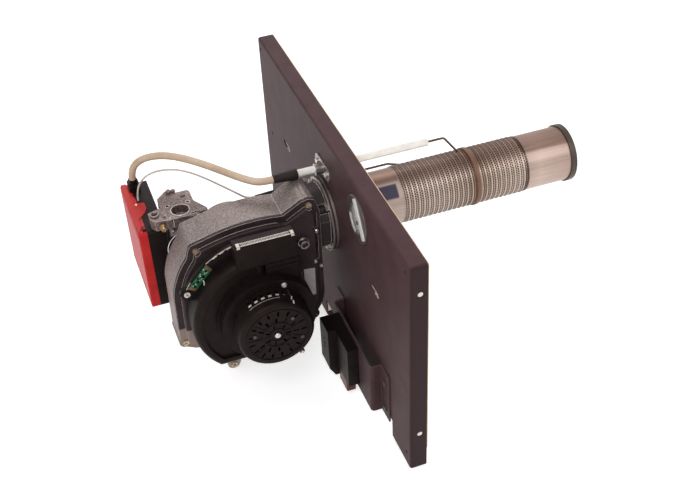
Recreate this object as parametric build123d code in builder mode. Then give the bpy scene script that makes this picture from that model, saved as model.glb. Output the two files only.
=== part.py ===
"""Premix gas burner assembly: fan, gas valve and controller on a mounting plate,
with a perforated burner tube and its electrodes.

The origin is where the axis of the burner tube meets the front face of the plate.
+X runs down the tube, +Y to the far end of the plate, +Z up. Millimetres.
"""
from build123d import *
import math
import os

os.makedirs("parts", exist_ok=True)

# Mounting plate, a folded sheet tray whose flanges point down the tube
plate_half_width = 280.0
plate_top = 120.0
plate_bottom = -210.0
plate_sheet = 2.0
plate_depth = 22.0
plate_bend = 4.0
slot_y = 170.0
slot_length = 28.0
slot_width = 8.0
corner_hole_inset = 12.0
corner_hole_below_top = 14.5
corner_hole_above_bottom = 22.0
corner_hole_d = 5.0
side_hole_x = 13.0
side_hole_below_top = 41.5
side_hole_above_bottom = 61.5
side_hole_d = 8.0
notch_near_inset = 59.0
notch_far = 30.0
notch_height = 31.0
extra_hole_inset = 35.0
extra_hole_z = -24.0

# Insulation board inside the tray
board_gap = 2.2
board_thickness = 21.0
board_relief = 9.0

# Burner tube, flame sleeve and end cap
tube_r = 38.0
tube_wall = 1.5
tube_length = 350.0
tube_flange_width = 12.0
tube_flange_t = 1.5
plain_start_length = 96.0
plain_end_length = 72.0
flame_band_pitch = 7.0
flame_sleeve_t = 0.6
flame_bead_width = 1.0
flame_bead_height = 0.5
sleeve_seat = 0.02
seam_from_start = 203.0
seam_width = 5.0
seam_height = 1.0
cap_overhang = 2.0
cap_seat = 0.05
cap_rim = 4.0
cap_length = 8.0
cap_sheet = 1.5
cap_recess = 2.0
tube_clearance = 2.0

# Fan casing
fan_x = -116.0
fan_z = -62.0
volute_r = 74.0
volute_step = 11.0
casing_right = -24.0
casing_left = -223.0
casing_top = 50.5
casing_wall = 5.0
casing_corner_r = 59.0
corner_round = 6.0
corner_rise = 7.0
parting_y = -40.0
casing_back = 10.0
casing_back_bevel = 5.0
boss_r = 8.5
boss_depth = 36.0
lug_reach = 40.0
cover_rim = 5.0
cover_face_y = -52.0
cover_round = 2.0
plateau_inset = 9.0
plateau_corner = 3.0
casing_gasket_t = 0.8
neck_wall = 9.0
outlet_t = 6.0
outlet_lip = 2.5
outlet_bolt_reach = 5.5
outlet_gasket_t = 1.0
bolt_pocket = 14.0
bolt_pocket_r = 6.2
inlet_bore_r = 36.0
inlet_spigot = 8.0

# Impeller, shaft and motor
impeller_r = 60.0
impeller_width = 40.0
impeller_y = -44.0
hub_r = 12.0
impeller_blades = 24
impeller_sheet = 1.2
shaft_r = 4.0
bearing_r = 11.0
bearing_width = 7.0
running_gap = 0.05
motor_hole_r = 62.0
motor_base_r = 95.0
motor_base_drop = 4.0
motor_base_y = -90.0
motor_base_round = 7.0
motor_base_bottom = -133.0
motor_split = 4.0
dish_inset = 11.0
dish_depth = 4.0
wing_r = 108.0
wing_y = -70.0
wing_t = 5.0
wing_foot_r = 97.0
wing_start = 74.0
wing_end = 158.0
wing_lobe_r = 8.0
wing_screw_r = 105.0
wing_screw_angle = 153.0
motor_wall = 3.0
motor_skirt_r = 62.0
motor_skirt_y = -104.0
motor_cap_r = 49.0
motor_cap_y = -135.0
motor_cap_round = 5.0
motor_rotor_r = 22.0
stator_r = 38.0
stator_y = -88.0
stator_width = 26.0
air_gap = 0.6
cooling_wheel_r = 40.0
cooling_wheel_y = -126.0
cooling_wheel_width = 14.0

# Electronics box on the motor base
ebox_left = -147.0
ebox_right = -70.0
ebox_bottom = -46.0
ebox_step_z = 17.0
ebox_top = 50.0
ebox_y = -92.0
ebox_gap = 0.1
ebox_rib_width = 3.0
ebox_rib_height = 1.6
pcb_t = 1.6
pcb_width = 11.0
pcb_start = 127.0
pcb_end = 149.0
strip_height = 4.0
strip_depth = 12.0
cap_vent_r = 5.0
cap_vents = 6
cap_vent_step = 11.0
cap_vent_first = 68.0

# Gas valve behind the casing
valve_top = 30.0
valve_x = -184.5
valve_y = 42.0
port_r = 11.5
port_depth = 13.0
port_pitch = 27.0
gas_way_r = 8.0
port_screw_d = 4.5
valve_left = -204.0
valve_right = -163.0
valve_front = 31.0
valve_back = 84.0
valve_bottom = -78.0
coil_r = 26.5
coil_z = -20.5
coil_front = 23.0

# Venturi mixer on the back of the fan
venturi_flange_r = 46.0
venturi_flange_t = 6.0
venturi_throat_r = 14.0
venturi_body_r = 32.0
venturi_mouth_r = 38.0
venturi_back = 104.0
venturi_wall = 4.0

# Controller beside the gas valve
ctrl_left = -244.0
ctrl_right = -208.0
ctrl_near = 32.0
ctrl_far = 151.0
ctrl_bottom = -112.0
ctrl_top = 13.0
ctrl_wall = 2.5
ctrl_cover_width = 12.0

# Electrodes
ign_y = 3.0
ign_z = 70.0
ign_ceramic_r = 5.0
ign_front = -36.0
ign_back = 144.0
ign_rod_r = 1.5
ign_tip_x = 188.0
ign_screw_pitch = 34.0
ign_screw_r = 2.0
ign_flange_t = 2.0
boot_end = -68.0
ion_y = 60.0
ion_z = 8.0
ion_ceramic_r = 4.0
ion_front = -44.0
ion_back = 56.0
ion_rod_r = 1.5
ion_tip_x = 150.0
sleeve_end = -80.0
rod_gap = 3.0

# Leads
hv_lead_r = 4.8
thin_lead_r = 1.3

# Sight glass
glass_y = -122.0
glass_z = 75.0
glass_ring_r = 31.0
glass_hole_r = 22.0
glass_r = 20.0
glass_t = 4.0
glass_ring_t = 3.0
strap_length = 52.0
strap_width = 9.0
strap_offset = 14.0

# Bracket and its connector box
bracket_sheet = 2.0
bracket_stand = 14.0
bracket_far = -57.0
bracket_near = -189.0
bracket_foot = 27.0
bracket_top = -106.0
bracket_bottom = -186.0

box_front_x = -42.0
box_far_y = -71.0
box_middle_y = -103.0
box_near_y = -147.0
box_top = -113.0
box_bottom = -194.0
box_step_x = -31.0
box_step_z = -176.0
plug_bottom = -196.0

# Throttle screw of the mixer
throttle_r = 4.0
throttle_depth = 12.0

# Fasteners
cover_screw_d = 4.0
cover_screw_depth = 14.0
bolt_d = 6.0
screw_gap = 0.05
head_recess = 0.5


def save(piece, name):
    """Label one finished piece and write its STEP file."""
    piece.part.label = name
    export_step(piece.part, f"parts/{name}.step")


def facing(plane, x, y, z):
    """A copy of a plane moved to a point."""
    return Plane(origin=(x, y, z), x_dir=plane.x_dir, z_dir=plane.z_dir)


# Planes whose normals point towards -Y, -X and +X
to_front = Plane(origin=(0, 0, 0), x_dir=(1, 0, 0), z_dir=(0, -1, 0))
to_left = Plane(origin=(0, 0, 0), x_dir=(0, -1, 0), z_dir=(-1, 0, 0))
to_right = Plane(origin=(0, 0, 0), x_dir=(0, 1, 0), z_dir=(1, 0, 0))

# Radii and places that follow from the sizes above
tube_flange_r = tube_r + tube_flange_width
flame_end = tube_length - plain_end_length
flame_band_r = tube_r + flame_sleeve_t
bead_r = flame_band_r + flame_bead_height
seam_x = seam_from_start
cap_r = tube_r + cap_overhang
outlet_r = tube_flange_r
outlet_bore_r = tube_r - tube_wall - outlet_lip
neck_r = outlet_bore_r + neck_wall
outlet_bolt_r = tube_r + outlet_bolt_reach
corner_hole_y = plate_half_width - corner_hole_inset
corner_hole_top = plate_top - corner_hole_below_top
corner_hole_bottom = plate_bottom + corner_hole_above_bottom
side_hole_top = plate_top - side_hole_below_top
side_hole_bottom = plate_bottom + side_hole_above_bottom
notch_near = notch_near_inset - plate_half_width
extra_hole_y = plate_half_width - extra_hole_inset

outlet_bolt_spots = [(outlet_bolt_r * math.cos(math.radians(a)), outlet_bolt_r * math.sin(math.radians(a)))
                     for a in (45, 135, 225, 315)]
ign_screw_spots = [(ign_y + side * ign_screw_pitch / 2, ign_z) for side in (-1, 1)]
plate_middle_z = (plate_top + plate_bottom) / 2
plate_height = plate_top - plate_bottom
corner_spots = [(side * corner_hole_y, z) for side in (-1, 1)
                for z in (corner_hole_top, corner_hole_bottom)]
board_back = plate_sheet + board_thickness

# Bracket foot screws, on the plate
bracket_far_foot = bracket_far + bracket_foot
bracket_near_foot = bracket_near - bracket_foot
bracket_screw_spots = [(bracket_near_foot + 12, bracket_bottom + 14),
                       (bracket_near_foot + 12, bracket_top - 22),
                       (bracket_far_foot - 10, bracket_bottom + 14),
                       (bracket_far_foot - 10, bracket_top - 22)]
bracket_screw_r = 2.0

# Tray of the mounting plate
with BuildPart() as mounting_plate:
    with BuildSketch(to_right):
        with Locations((0, plate_middle_z)):
            RectangleRounded(2 * plate_half_width, plate_height, plate_bend)
    extrude(amount=plate_depth)
    front_edges = mounting_plate.faces().sort_by(Axis.X)[0].edges()
    fillet(front_edges, radius=plate_bend - 0.5)
    offset(amount=-plate_sheet, openings=mounting_plate.faces().sort_by(Axis.X)[-1])
    with BuildSketch(facing(to_right, -1, 0, 0)):
        Circle(tube_r + tube_clearance)
        with Locations(*outlet_bolt_spots):
            Circle(bolt_d / 2 + screw_gap)
        with Locations((-slot_y, 0), (slot_y, 0)):
            SlotOverall(slot_length, slot_width)
        with Locations(*corner_spots):
            Circle(corner_hole_d / 2)
        with Locations((extra_hole_y, extra_hole_z)):
            Circle(corner_hole_d / 2)
        with Locations((glass_y, glass_z)):
            Circle(glass_hole_r)
        with Locations((ign_y, ign_z)):
            Circle(ign_ceramic_r + 0.5)
        with Locations(*ign_screw_spots):
            Circle(ign_screw_r + screw_gap)
        with Locations((ion_y, ion_z)):
            Circle(ion_ceramic_r + 0.5)
        with Locations(*bracket_screw_spots):
            Circle(bracket_screw_r + screw_gap)
        with Locations(((notch_near + notch_far) / 2, plate_bottom)):
            Rectangle(notch_far - notch_near, 2 * notch_height)
    extrude(amount=plate_depth + 2, mode=Mode.SUBTRACT)
    for z in (side_hole_top, side_hole_bottom):
        with Locations(Location((side_hole_x, 0, z), (90, 0, 0))):
            Cylinder(side_hole_d / 2, 2 * plate_half_width + 2, mode=Mode.SUBTRACT)
save(mounting_plate, "mounting_plate")

# Ceramic fibre board in the tray
with BuildPart() as insulation_board:
    with BuildSketch(facing(to_right, plate_sheet, 0, 0)):
        with Locations((0, plate_middle_z)):
            RectangleRounded(2 * (plate_half_width - plate_sheet - board_gap),
                             plate_height - 2 * (plate_sheet + board_gap), plate_bend)
        Circle(tube_r + tube_clearance, mode=Mode.SUBTRACT)
        with Locations((-slot_y, 0), (slot_y, 0)):
            SlotOverall(slot_length + board_relief, slot_width + board_relief, mode=Mode.SUBTRACT)
        with Locations(*outlet_bolt_spots):
            Circle(bolt_pocket_r, mode=Mode.SUBTRACT)
        with Locations(*corner_spots, *ign_screw_spots, (extra_hole_y, extra_hole_z)):
            Circle(board_relief / 2 + 1, mode=Mode.SUBTRACT)
        with Locations(*[(y, z) for y, z in bracket_screw_spots if z > plate_bottom + notch_height]):
            Circle(board_relief / 2, mode=Mode.SUBTRACT)
        with Locations((glass_y, glass_z)):
            Circle(glass_hole_r, mode=Mode.SUBTRACT)
        with Locations((ign_y, ign_z)):
            Circle(ign_ceramic_r + 0.5, mode=Mode.SUBTRACT)
        with Locations((ion_y, ion_z)):
            Circle(ion_ceramic_r + 0.5, mode=Mode.SUBTRACT)
        with Locations(((notch_near + notch_far) / 2, plate_bottom)):
            Rectangle(notch_far - notch_near + 8, 2 * notch_height + 8, mode=Mode.SUBTRACT)
    extrude(amount=board_thickness)
    for z in (side_hole_top, side_hole_bottom):
        for side in (-1, 1):
            with Locations((side_hole_x, side * (plate_half_width - 8), z)):
                Box(18, 20, 18, mode=Mode.SUBTRACT)
save(insulation_board, "insulation_board")

# Burner tube and the sheet flange welded to its start
cap_floor = tube_length - cap_recess
tube_end = cap_floor - cap_sheet
flange_x = -outlet_gasket_t - tube_flange_t
outlet_face_x = flange_x
with BuildPart() as burner_tube:
    with BuildSketch(facing(to_right, flange_x + tube_flange_t, 0, 0)):
        Circle(tube_r)
        Circle(tube_r - tube_wall, mode=Mode.SUBTRACT)
    extrude(amount=tube_end - flange_x - tube_flange_t)
    with BuildSketch(facing(to_right, flange_x, 0, 0)):
        Circle(tube_flange_r)
        Circle(tube_r - tube_wall, mode=Mode.SUBTRACT)
        with Locations(*outlet_bolt_spots):
            Circle(bolt_d / 2 + screw_gap, mode=Mode.SUBTRACT)
    extrude(amount=tube_flange_t)
save(burner_tube, "burner_tube")

with BuildPart() as tube_gasket:
    with BuildSketch(facing(to_right, -outlet_gasket_t, 0, 0)):
        Circle(tube_flange_r)
        Circle(tube_r + 0.3, mode=Mode.SUBTRACT)
        with Locations(*outlet_bolt_spots):
            Circle(bolt_d / 2 + screw_gap, mode=Mode.SUBTRACT)
    extrude(amount=outlet_gasket_t)
save(tube_gasket, "tube_gasket")

seam_r = bead_r + cap_seat + seam_height

# Perforated flame sleeve, with a raised bead between its bands of slots
bead_count = int((flame_end - plain_start_length) // flame_band_pitch)
with BuildPart() as flame_sleeve:
    with BuildSketch(Plane.XY):
        with BuildLine():
            profile = [(plain_start_length, tube_r + sleeve_seat)]
            profile.append((plain_start_length, flame_band_r))
            for i in range(1, bead_count + 1):
                bead_x = plain_start_length + i * flame_band_pitch
                if bead_x + flame_bead_width < flame_end:
                    profile.append((bead_x - flame_bead_width / 2, flame_band_r))
                    profile.append((bead_x, bead_r))
                    profile.append((bead_x + flame_bead_width / 2, flame_band_r))
            profile.append((flame_end, flame_band_r))
            profile.append((flame_end, tube_r + sleeve_seat))
            Polyline(*profile, close=True)
        make_face()
    revolve(axis=Axis.X)
save(flame_sleeve, "flame_sleeve")

with BuildPart() as seam_band:
    with BuildSketch(facing(to_right, seam_x - seam_width / 2, 0, 0)):
        Circle(seam_r)
        Circle(bead_r + cap_seat, mode=Mode.SUBTRACT)
    extrude(amount=seam_width)
save(seam_band, "seam_band")

with BuildPart() as end_cap:
    with BuildSketch(Plane.XY):
        with BuildLine():
            Polyline((tube_length - cap_length, tube_r + cap_seat),
                     (tube_length - cap_length, cap_r),
                     (tube_length, cap_r),
                     (tube_length, cap_r - cap_rim),
                     (cap_floor, cap_r - cap_rim - cap_recess),
                     (cap_floor, 0),
                     (tube_end, 0),
                     (tube_end, tube_r + cap_seat),
                     close=True)
        make_face()
    revolve(axis=Axis.X)
save(end_cap, "end_cap")

# Fan casing: a volute of three tangent arcs, each larger than the last by the step
lower_x = fan_x - volute_step / 2
upper_x = fan_x + volute_step / 2
lower_z = fan_z - volute_step / 2
upper_z = fan_z + volute_step / 2
second_r = volute_r + volute_step
third_r = second_r + volute_step
casing_bottom = lower_z - volute_r - casing_wall

# Screws of the casing, as x and z on the parting plane
top_right_screw = (-38.5, 55.3)
top_left_screw = (-187.0, 28.3)
bottom_left_screw = (-218.0, -115.0)
bottom_right_screw = (-42.0, -128.0)
lug_screw = (-159.0, -177.0)
cover_screw_spots = [top_right_screw, top_left_screw, bottom_left_screw, bottom_right_screw, lug_screw]


def casing_outline():
    """Outer line of the fan casing, with its screw corners, drawn into the open sketch."""
    right_x, right_z = top_right_screw
    left_x, left_z = top_left_screw
    low_x, low_z = bottom_left_screw
    with BuildLine() as outline:
        low_right = CenterArc((casing_right - casing_corner_r, casing_bottom + casing_corner_r),
                              casing_corner_r, -90, 90)
        top_right = FilletPolyline((casing_right, right_z - 12), (right_x + boss_r, right_z + corner_rise),
                                   (right_x - boss_r, right_z + corner_rise), (right_x - 34, casing_top - 3),
                                   radius=corner_round)
        top_left = FilletPolyline((left_x + 9, casing_top - 10), (left_x - 7, left_z + boss_r),
                                  (left_x - 13, left_z - 10), radius=corner_round)
        ThreePointArc(top_right @ 1, (fan_x - 6, casing_top), top_left @ 0)
        bottom_left = FilletPolyline((casing_left, fan_z + 24), (casing_left - 1.5, low_z - 5),
                                     (low_x + 12, low_z - 15), (fan_x - 39, casing_bottom + 3.5),
                                     (fan_x - 20, casing_bottom), radius=corner_round)
        ThreePointArc(top_left @ 1, (casing_left + 7, fan_z + 52), bottom_left @ 0)
        Line(bottom_left @ 1, low_right @ 0)
        Line(low_right @ 1, top_right @ 0)
    make_face(outline.edges())


def volute_outline(mode=Mode.ADD):
    """Inner line of the volute with its outlet passage, drawn into the open sketch."""
    passage_x = casing_right - casing_wall
    with BuildLine() as outline:
        low_right = CenterArc((lower_x, lower_z), volute_r, -90, 90)
        low_left = CenterArc((lower_x, upper_z), second_r, 180, 90)
        up_left = CenterArc((upper_x, upper_z), third_r, 90, 90)
        Polyline(up_left @ 0, (passage_x, upper_z + third_r), (passage_x, -outlet_bore_r),
                 ((low_right @ 1).X, -outlet_bore_r), low_right @ 1)
    make_face(outline.edges(), mode=mode)


def bosses(radius):
    """Round bosses of the casing screws and the bottom lug, drawn into the open sketch."""
    with Locations(*cover_screw_spots):
        Circle(radius)
    x, z = lug_screw
    towards = math.degrees(math.atan2(fan_z - z, fan_x - x))
    middle_x = x + math.cos(math.radians(towards)) * lug_reach / 2
    middle_z = z + math.sin(math.radians(towards)) * lug_reach / 2
    with Locations((middle_x, middle_z)):
        SlotCenterToCenter(lug_reach, 2 * radius, rotation=towards)


outlet_front_x = outlet_face_x - outlet_t
neck_back_x = casing_right - 30
with BuildPart() as casing_rear:
    with BuildSketch(facing(to_front, 0, parting_y, 0)):
        casing_outline()
    extrude(amount=-(casing_back - parting_y))
    chamfer(casing_rear.faces().sort_by(Axis.Y)[-1].edges(), casing_back_bevel)
    with BuildSketch(facing(to_front, 0, parting_y, 0)):
        bosses(boss_r)
    extrude(amount=-boss_depth)
    with BuildSketch(facing(to_right, neck_back_x, 0, 0)):
        Circle(neck_r)
    extrude(amount=outlet_front_x - neck_back_x)
    with BuildSketch(facing(to_right, outlet_front_x - bolt_pocket, 0, 0)):
        with Locations(*outlet_bolt_spots):
            Circle(bolt_pocket_r)
    extrude(amount=bolt_pocket, mode=Mode.SUBTRACT)
    with BuildSketch(facing(to_front, fan_x, parting_y, 0)):
        Rectangle(4 * neck_r - 2 * casing_right, 3 * neck_r)
    extrude(amount=neck_r, mode=Mode.SUBTRACT)
    with BuildSketch(facing(to_right, outlet_front_x, 0, 0)):
        Circle(outlet_r)
    extrude(amount=outlet_t)
    with BuildSketch(facing(to_front, fan_x, casing_back, fan_z)):
        Circle(venturi_flange_r)
    extrude(amount=-inlet_spigot)
    with BuildSketch(facing(to_front, 0, parting_y, 0)):
        volute_outline()
    extrude(amount=-(casing_back - casing_wall - parting_y), mode=Mode.SUBTRACT)
    with BuildSketch(facing(to_right, neck_back_x, 0, 0)):
        Circle(outlet_bore_r)
    extrude(amount=outlet_face_x - neck_back_x, mode=Mode.SUBTRACT)
    with BuildSketch(facing(to_front, fan_x, casing_back + inlet_spigot, fan_z)):
        Circle(inlet_bore_r)
    extrude(amount=inlet_spigot + casing_wall + 1, mode=Mode.SUBTRACT)
    with BuildSketch(facing(to_right, outlet_front_x, 0, 0)):
        with Locations(*outlet_bolt_spots):
            Circle(bolt_d / 2 + screw_gap)
    extrude(amount=outlet_t, mode=Mode.SUBTRACT)
    with BuildSketch(facing(to_front, 0, parting_y, 0)):
        with Locations(*cover_screw_spots):
            Circle(cover_screw_d / 2 + screw_gap)
    extrude(amount=-cover_screw_depth, mode=Mode.SUBTRACT)
save(casing_rear, "casing_rear")

# Front shell of the casing, with the opening that the motor closes
cover_depth = parting_y - casing_gasket_t - cover_face_y
cover_back_y = parting_y - casing_gasket_t
with BuildPart() as casing_cover:
    with BuildSketch(facing(to_front, 0, cover_back_y, 0)):
        casing_outline()
        bosses(boss_r)
    extrude(amount=cover_rim)
    with BuildSketch(facing(to_front, 0, cover_back_y, 0)) as plateau:
        casing_outline()
        offset(amount=-plateau_inset, mode=Mode.REPLACE)
        fillet(plateau.vertices(), radius=plateau_corner)
    extrude(amount=cover_depth)
    fillet(casing_cover.faces().sort_by(Axis.Y)[0].edges(), radius=cover_round)
    with BuildSketch(facing(to_front, 0, cover_back_y, 0)):
        volute_outline()
    extrude(amount=cover_depth - casing_wall, mode=Mode.SUBTRACT)
    with BuildSketch(facing(to_front, fan_x, cover_back_y, fan_z)):
        Circle(motor_hole_r)
    extrude(amount=cover_depth, mode=Mode.SUBTRACT)
    with BuildSketch(facing(to_front, 0, cover_back_y, 0)):
        with Locations(*cover_screw_spots):
            Circle(cover_screw_d / 2 + screw_gap)
    extrude(amount=cover_depth, mode=Mode.SUBTRACT)
    with BuildSketch(facing(to_front, 0, cover_back_y - cover_rim, 0)):
        with Locations(*cover_screw_spots):
            Circle(cover_screw_d + head_recess)
    extrude(amount=cover_depth, mode=Mode.SUBTRACT)
save(casing_cover, "casing_cover")

with BuildPart() as casing_gasket:
    with BuildSketch(facing(to_front, 0, parting_y, 0)):
        casing_outline()
        bosses(boss_r)
        volute_outline(Mode.SUBTRACT)
        with Locations(*cover_screw_spots):
            Circle(cover_screw_d / 2 + screw_gap, mode=Mode.SUBTRACT)
    extrude(amount=casing_gasket_t)
save(casing_gasket, "casing_gasket")

# Screws of the casing, driven in from the front
screw_head_y = cover_back_y - cover_rim
with BuildPart() as cover_screws:
    with BuildSketch(facing(to_front, 0, parting_y + cover_screw_depth - 1, 0)):
        with Locations(*cover_screw_spots):
            Circle(cover_screw_d / 2)
    extrude(amount=parting_y + cover_screw_depth - 1 - screw_head_y)
    with BuildSketch(facing(to_front, 0, screw_head_y, 0)):
        with Locations(*cover_screw_spots):
            Circle(cover_screw_d)
    extrude(amount=3)
    with BuildSketch(facing(to_front, 0, screw_head_y - 3, 0)):
        with Locations(*cover_screw_spots):
            RegularPolygon(cover_screw_d / 2, 6)
    extrude(amount=-2, mode=Mode.SUBTRACT)
save(cover_screws, "cover_screws")

# Radial impeller
impeller_end = impeller_y + impeller_width
with BuildPart() as impeller:
    with BuildSketch(facing(to_front, fan_x, impeller_y, fan_z)):
        Circle(impeller_r)
    extrude(amount=-impeller_sheet)
    with BuildSketch(facing(to_front, fan_x, impeller_y, fan_z)):
        Circle(hub_r)
    extrude(amount=-impeller_width * 0.4)
    with BuildSketch(facing(to_front, fan_x, impeller_y + impeller_sheet, fan_z)):
        with PolarLocations((impeller_r + inlet_bore_r) / 2 - 1, impeller_blades):
            Rectangle(impeller_r - inlet_bore_r - 2, impeller_sheet, rotation=28)
    extrude(amount=-(impeller_width - 2 * impeller_sheet))
    with BuildSketch(facing(to_front, fan_x, impeller_end - impeller_sheet, fan_z)):
        Circle(impeller_r)
        Circle(inlet_bore_r, mode=Mode.SUBTRACT)
    extrude(amount=-impeller_sheet)
    with BuildSketch(facing(to_front, fan_x, impeller_y, fan_z)):
        Circle(shaft_r)
    extrude(amount=-impeller_width, mode=Mode.SUBTRACT)
save(impeller, "impeller")

# Motor shaft, from the impeller hub to the grille of the cap
shaft_end_y = impeller_y + impeller_width * 0.4
shaft_front_y = motor_cap_y - 1.5
with BuildPart() as motor_shaft:
    with BuildSketch(facing(to_front, fan_x, shaft_end_y, fan_z)):
        Circle(shaft_r)
    extrude(amount=shaft_end_y - shaft_front_y)
    chamfer(motor_shaft.faces().sort_by(Axis.Y)[0].edges(), 0.6)
save(motor_shaft, "motor_shaft")

# Motor base: a bowl on the casing cover, flat below, with room for the stator
base_back_y = cover_face_y
bearing_back_y = base_back_y - 2
bearing_front_y = motor_base_y - 4


def polar(radius, degrees):
    """A point about the fan axis, as x and z measured from it."""
    return radius * math.cos(math.radians(degrees)), radius * math.sin(math.radians(degrees))


def motor_outline(inset):
    """Outline of the round motor base, cut flat below, drawn into the open sketch."""
    reach = motor_base_r + motor_base_drop
    bottom = motor_base_bottom - fan_z + inset
    with Locations((0, -motor_base_drop)):
        Circle(motor_base_r - inset)
    with Locations(((motor_split - reach) / 2, (reach + bottom) / 2)):
        Rectangle(motor_split + reach - 2 * inset, reach - bottom, mode=Mode.INTERSECT)


def wing_sector(radius, mode=Mode.ADD):
    """Sector of the wing that carries the control board, drawn into the open sketch."""
    with BuildLine() as outline:
        rim = CenterArc((0, 0), radius, wing_start, wing_end - wing_start)
        Line((0, 0), rim @ 0)
        Line(rim @ 1, (0, 0))
    make_face(outline.edges(), mode=mode)


def box_outline(gap):
    """Outline of the electronics box, drawn into the open sketch."""
    left = ebox_left - fan_x - gap
    right = ebox_right - fan_x + gap
    top = ebox_top - fan_z + gap
    step = ebox_step_z - fan_z - gap
    with Locations(((left + right) / 2, (top + step) / 2)):
        Rectangle(right - left, top - step)
    with Locations(((motor_split + right) / 2, (step + ebox_bottom - fan_z) / 2)):
        Rectangle(right - motor_split, step - ebox_bottom + fan_z)


wing_screw_spot = polar(wing_screw_r, wing_screw_angle)
with BuildPart() as motor_base:
    with BuildSketch(facing(to_front, fan_x, base_back_y, fan_z)):
        motor_outline(0)
    extrude(amount=base_back_y - motor_base_y)
    fillet(motor_base.faces().sort_by(Axis.Y)[0].edges(), radius=motor_base_round)
    with BuildSketch(facing(to_front, fan_x, base_back_y, fan_z)):
        Circle(motor_skirt_r)
    extrude(amount=base_back_y - motor_base_y)
    with BuildSketch(facing(to_front, fan_x, base_back_y, fan_z)):
        wing_sector(wing_foot_r)
    extrude(amount=base_back_y - wing_y - wing_t)
    with BuildSketch(facing(to_front, fan_x, wing_y + wing_t, fan_z)):
        wing_sector(wing_r)
        with Locations(wing_screw_spot):
            Circle(wing_lobe_r)
    extrude(amount=wing_t)
    with BuildSketch(facing(to_front, fan_x, motor_base_y, fan_z)):
        motor_outline(dish_inset)
        Circle(motor_skirt_r + motor_wall, mode=Mode.SUBTRACT)
    extrude(amount=-dish_depth, mode=Mode.SUBTRACT)
    with BuildSketch(facing(to_front, fan_x, wing_y, fan_z)):
        box_outline(ebox_gap)
        Circle(motor_skirt_r, mode=Mode.SUBTRACT)
    extrude(amount=wing_y - ebox_y, mode=Mode.SUBTRACT)
    with BuildSketch(facing(to_front, fan_x, base_back_y - 10, fan_z)):
        Circle(stator_r)
    extrude(amount=base_back_y - 10 - motor_base_y, mode=Mode.SUBTRACT)
    with BuildSketch(facing(to_front, fan_x, base_back_y, fan_z)):
        Circle(bearing_r)
    extrude(amount=bearing_width, mode=Mode.SUBTRACT)
    with BuildSketch(facing(to_front, fan_x, base_back_y, fan_z)):
        Circle(bearing_r - 2)
    extrude(amount=11, mode=Mode.SUBTRACT)
save(motor_base, "motor_base")

with BuildPart() as motor_stator:
    with BuildSketch(facing(to_front, fan_x, stator_y + stator_width, fan_z)):
        Circle(stator_r)
        Circle(motor_rotor_r + air_gap, mode=Mode.SUBTRACT)
        with PolarLocations(motor_rotor_r + 6, 6):
            Rectangle(10, 3, mode=Mode.SUBTRACT)
    extrude(amount=stator_width)
save(motor_stator, "motor_stator")

with BuildPart() as motor_rotor:
    with BuildSketch(facing(to_front, fan_x, stator_y + stator_width - 1, fan_z)):
        Circle(motor_rotor_r)
        Circle(shaft_r, mode=Mode.SUBTRACT)
    extrude(amount=stator_width - 2)
save(motor_rotor, "motor_rotor")

# Two bearings, one in the motor base and one in the bridge of the cap
cap_bridge_y = motor_skirt_y
with BuildPart() as bearings:
    for y in (base_back_y, cap_bridge_y):
        with BuildSketch(facing(to_front, fan_x, y, fan_z)):
            Circle(bearing_r)
            Circle(shaft_r + running_gap, mode=Mode.SUBTRACT)
        extrude(amount=bearing_width)
save(bearings, "bearings")

# Motor cap with its skirt, bearing bridge and vented front
cap_inner_r = motor_cap_r - motor_wall
with BuildPart() as motor_cap:
    with BuildSketch(facing(to_front, fan_x, motor_base_y, fan_z)):
        Circle(motor_skirt_r)
    extrude(amount=motor_base_y - motor_skirt_y)
    with BuildSketch(facing(to_front, fan_x, motor_skirt_y, fan_z)):
        Circle(motor_cap_r)
    extrude(amount=motor_skirt_y - motor_cap_y)
    fillet(motor_cap.faces().sort_by(Axis.Y)[0].edges(), radius=motor_cap_round)
    with BuildSketch(facing(to_front, fan_x, motor_base_y, fan_z)):
        Circle(cap_inner_r)
    extrude(amount=motor_base_y - motor_cap_y - motor_wall, mode=Mode.SUBTRACT)
    with BuildSketch(facing(to_front, fan_x, cap_bridge_y, fan_z)):
        Circle(bearing_r + motor_wall)
        Circle(bearing_r, mode=Mode.SUBTRACT)
    extrude(amount=bearing_width)
    with BuildSketch(facing(to_front, fan_x, cap_bridge_y, fan_z)):
        with PolarLocations((cap_inner_r + bearing_r + motor_wall) / 2, 3):
            Rectangle(cap_inner_r - bearing_r - motor_wall + 2, 8)
    extrude(amount=bearing_width)
    with BuildSketch(facing(to_front, fan_x, motor_cap_y + motor_wall + 1, fan_z)):
        for ring_r in (14, 24, 34):
            with PolarLocations(ring_r, round(ring_r / 2)):
                Rectangle(7, 2.6)
        Circle(shaft_r + 1)
    extrude(amount=motor_wall + 2, mode=Mode.SUBTRACT)
    for i in range(cap_vents):
        angle = cap_vent_first + i * cap_vent_step
        out_x, out_z = polar(motor_cap_r - motor_wall / 2, angle)
        vent_y = motor_skirt_y - motor_wall - cap_vent_r
        with Locations(Location((fan_x + out_x, vent_y, fan_z + out_z), (0, -angle, 0))):
            Box(3 * motor_wall, 2 * cap_vent_r, cap_vent_r, mode=Mode.SUBTRACT)
save(motor_cap, "motor_cap")

with BuildPart() as cooling_wheel:
    with BuildSketch(facing(to_front, fan_x, cooling_wheel_y + cooling_wheel_width, fan_z)):
        Circle(hub_r)
        with PolarLocations(hub_r + (cooling_wheel_r - hub_r) / 2 - 1, 9):
            Rectangle(cooling_wheel_r - hub_r + 2, 1.6)
        Circle(shaft_r, mode=Mode.SUBTRACT)
    extrude(amount=cooling_wheel_width)
save(cooling_wheel, "cooling_wheel")

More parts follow.
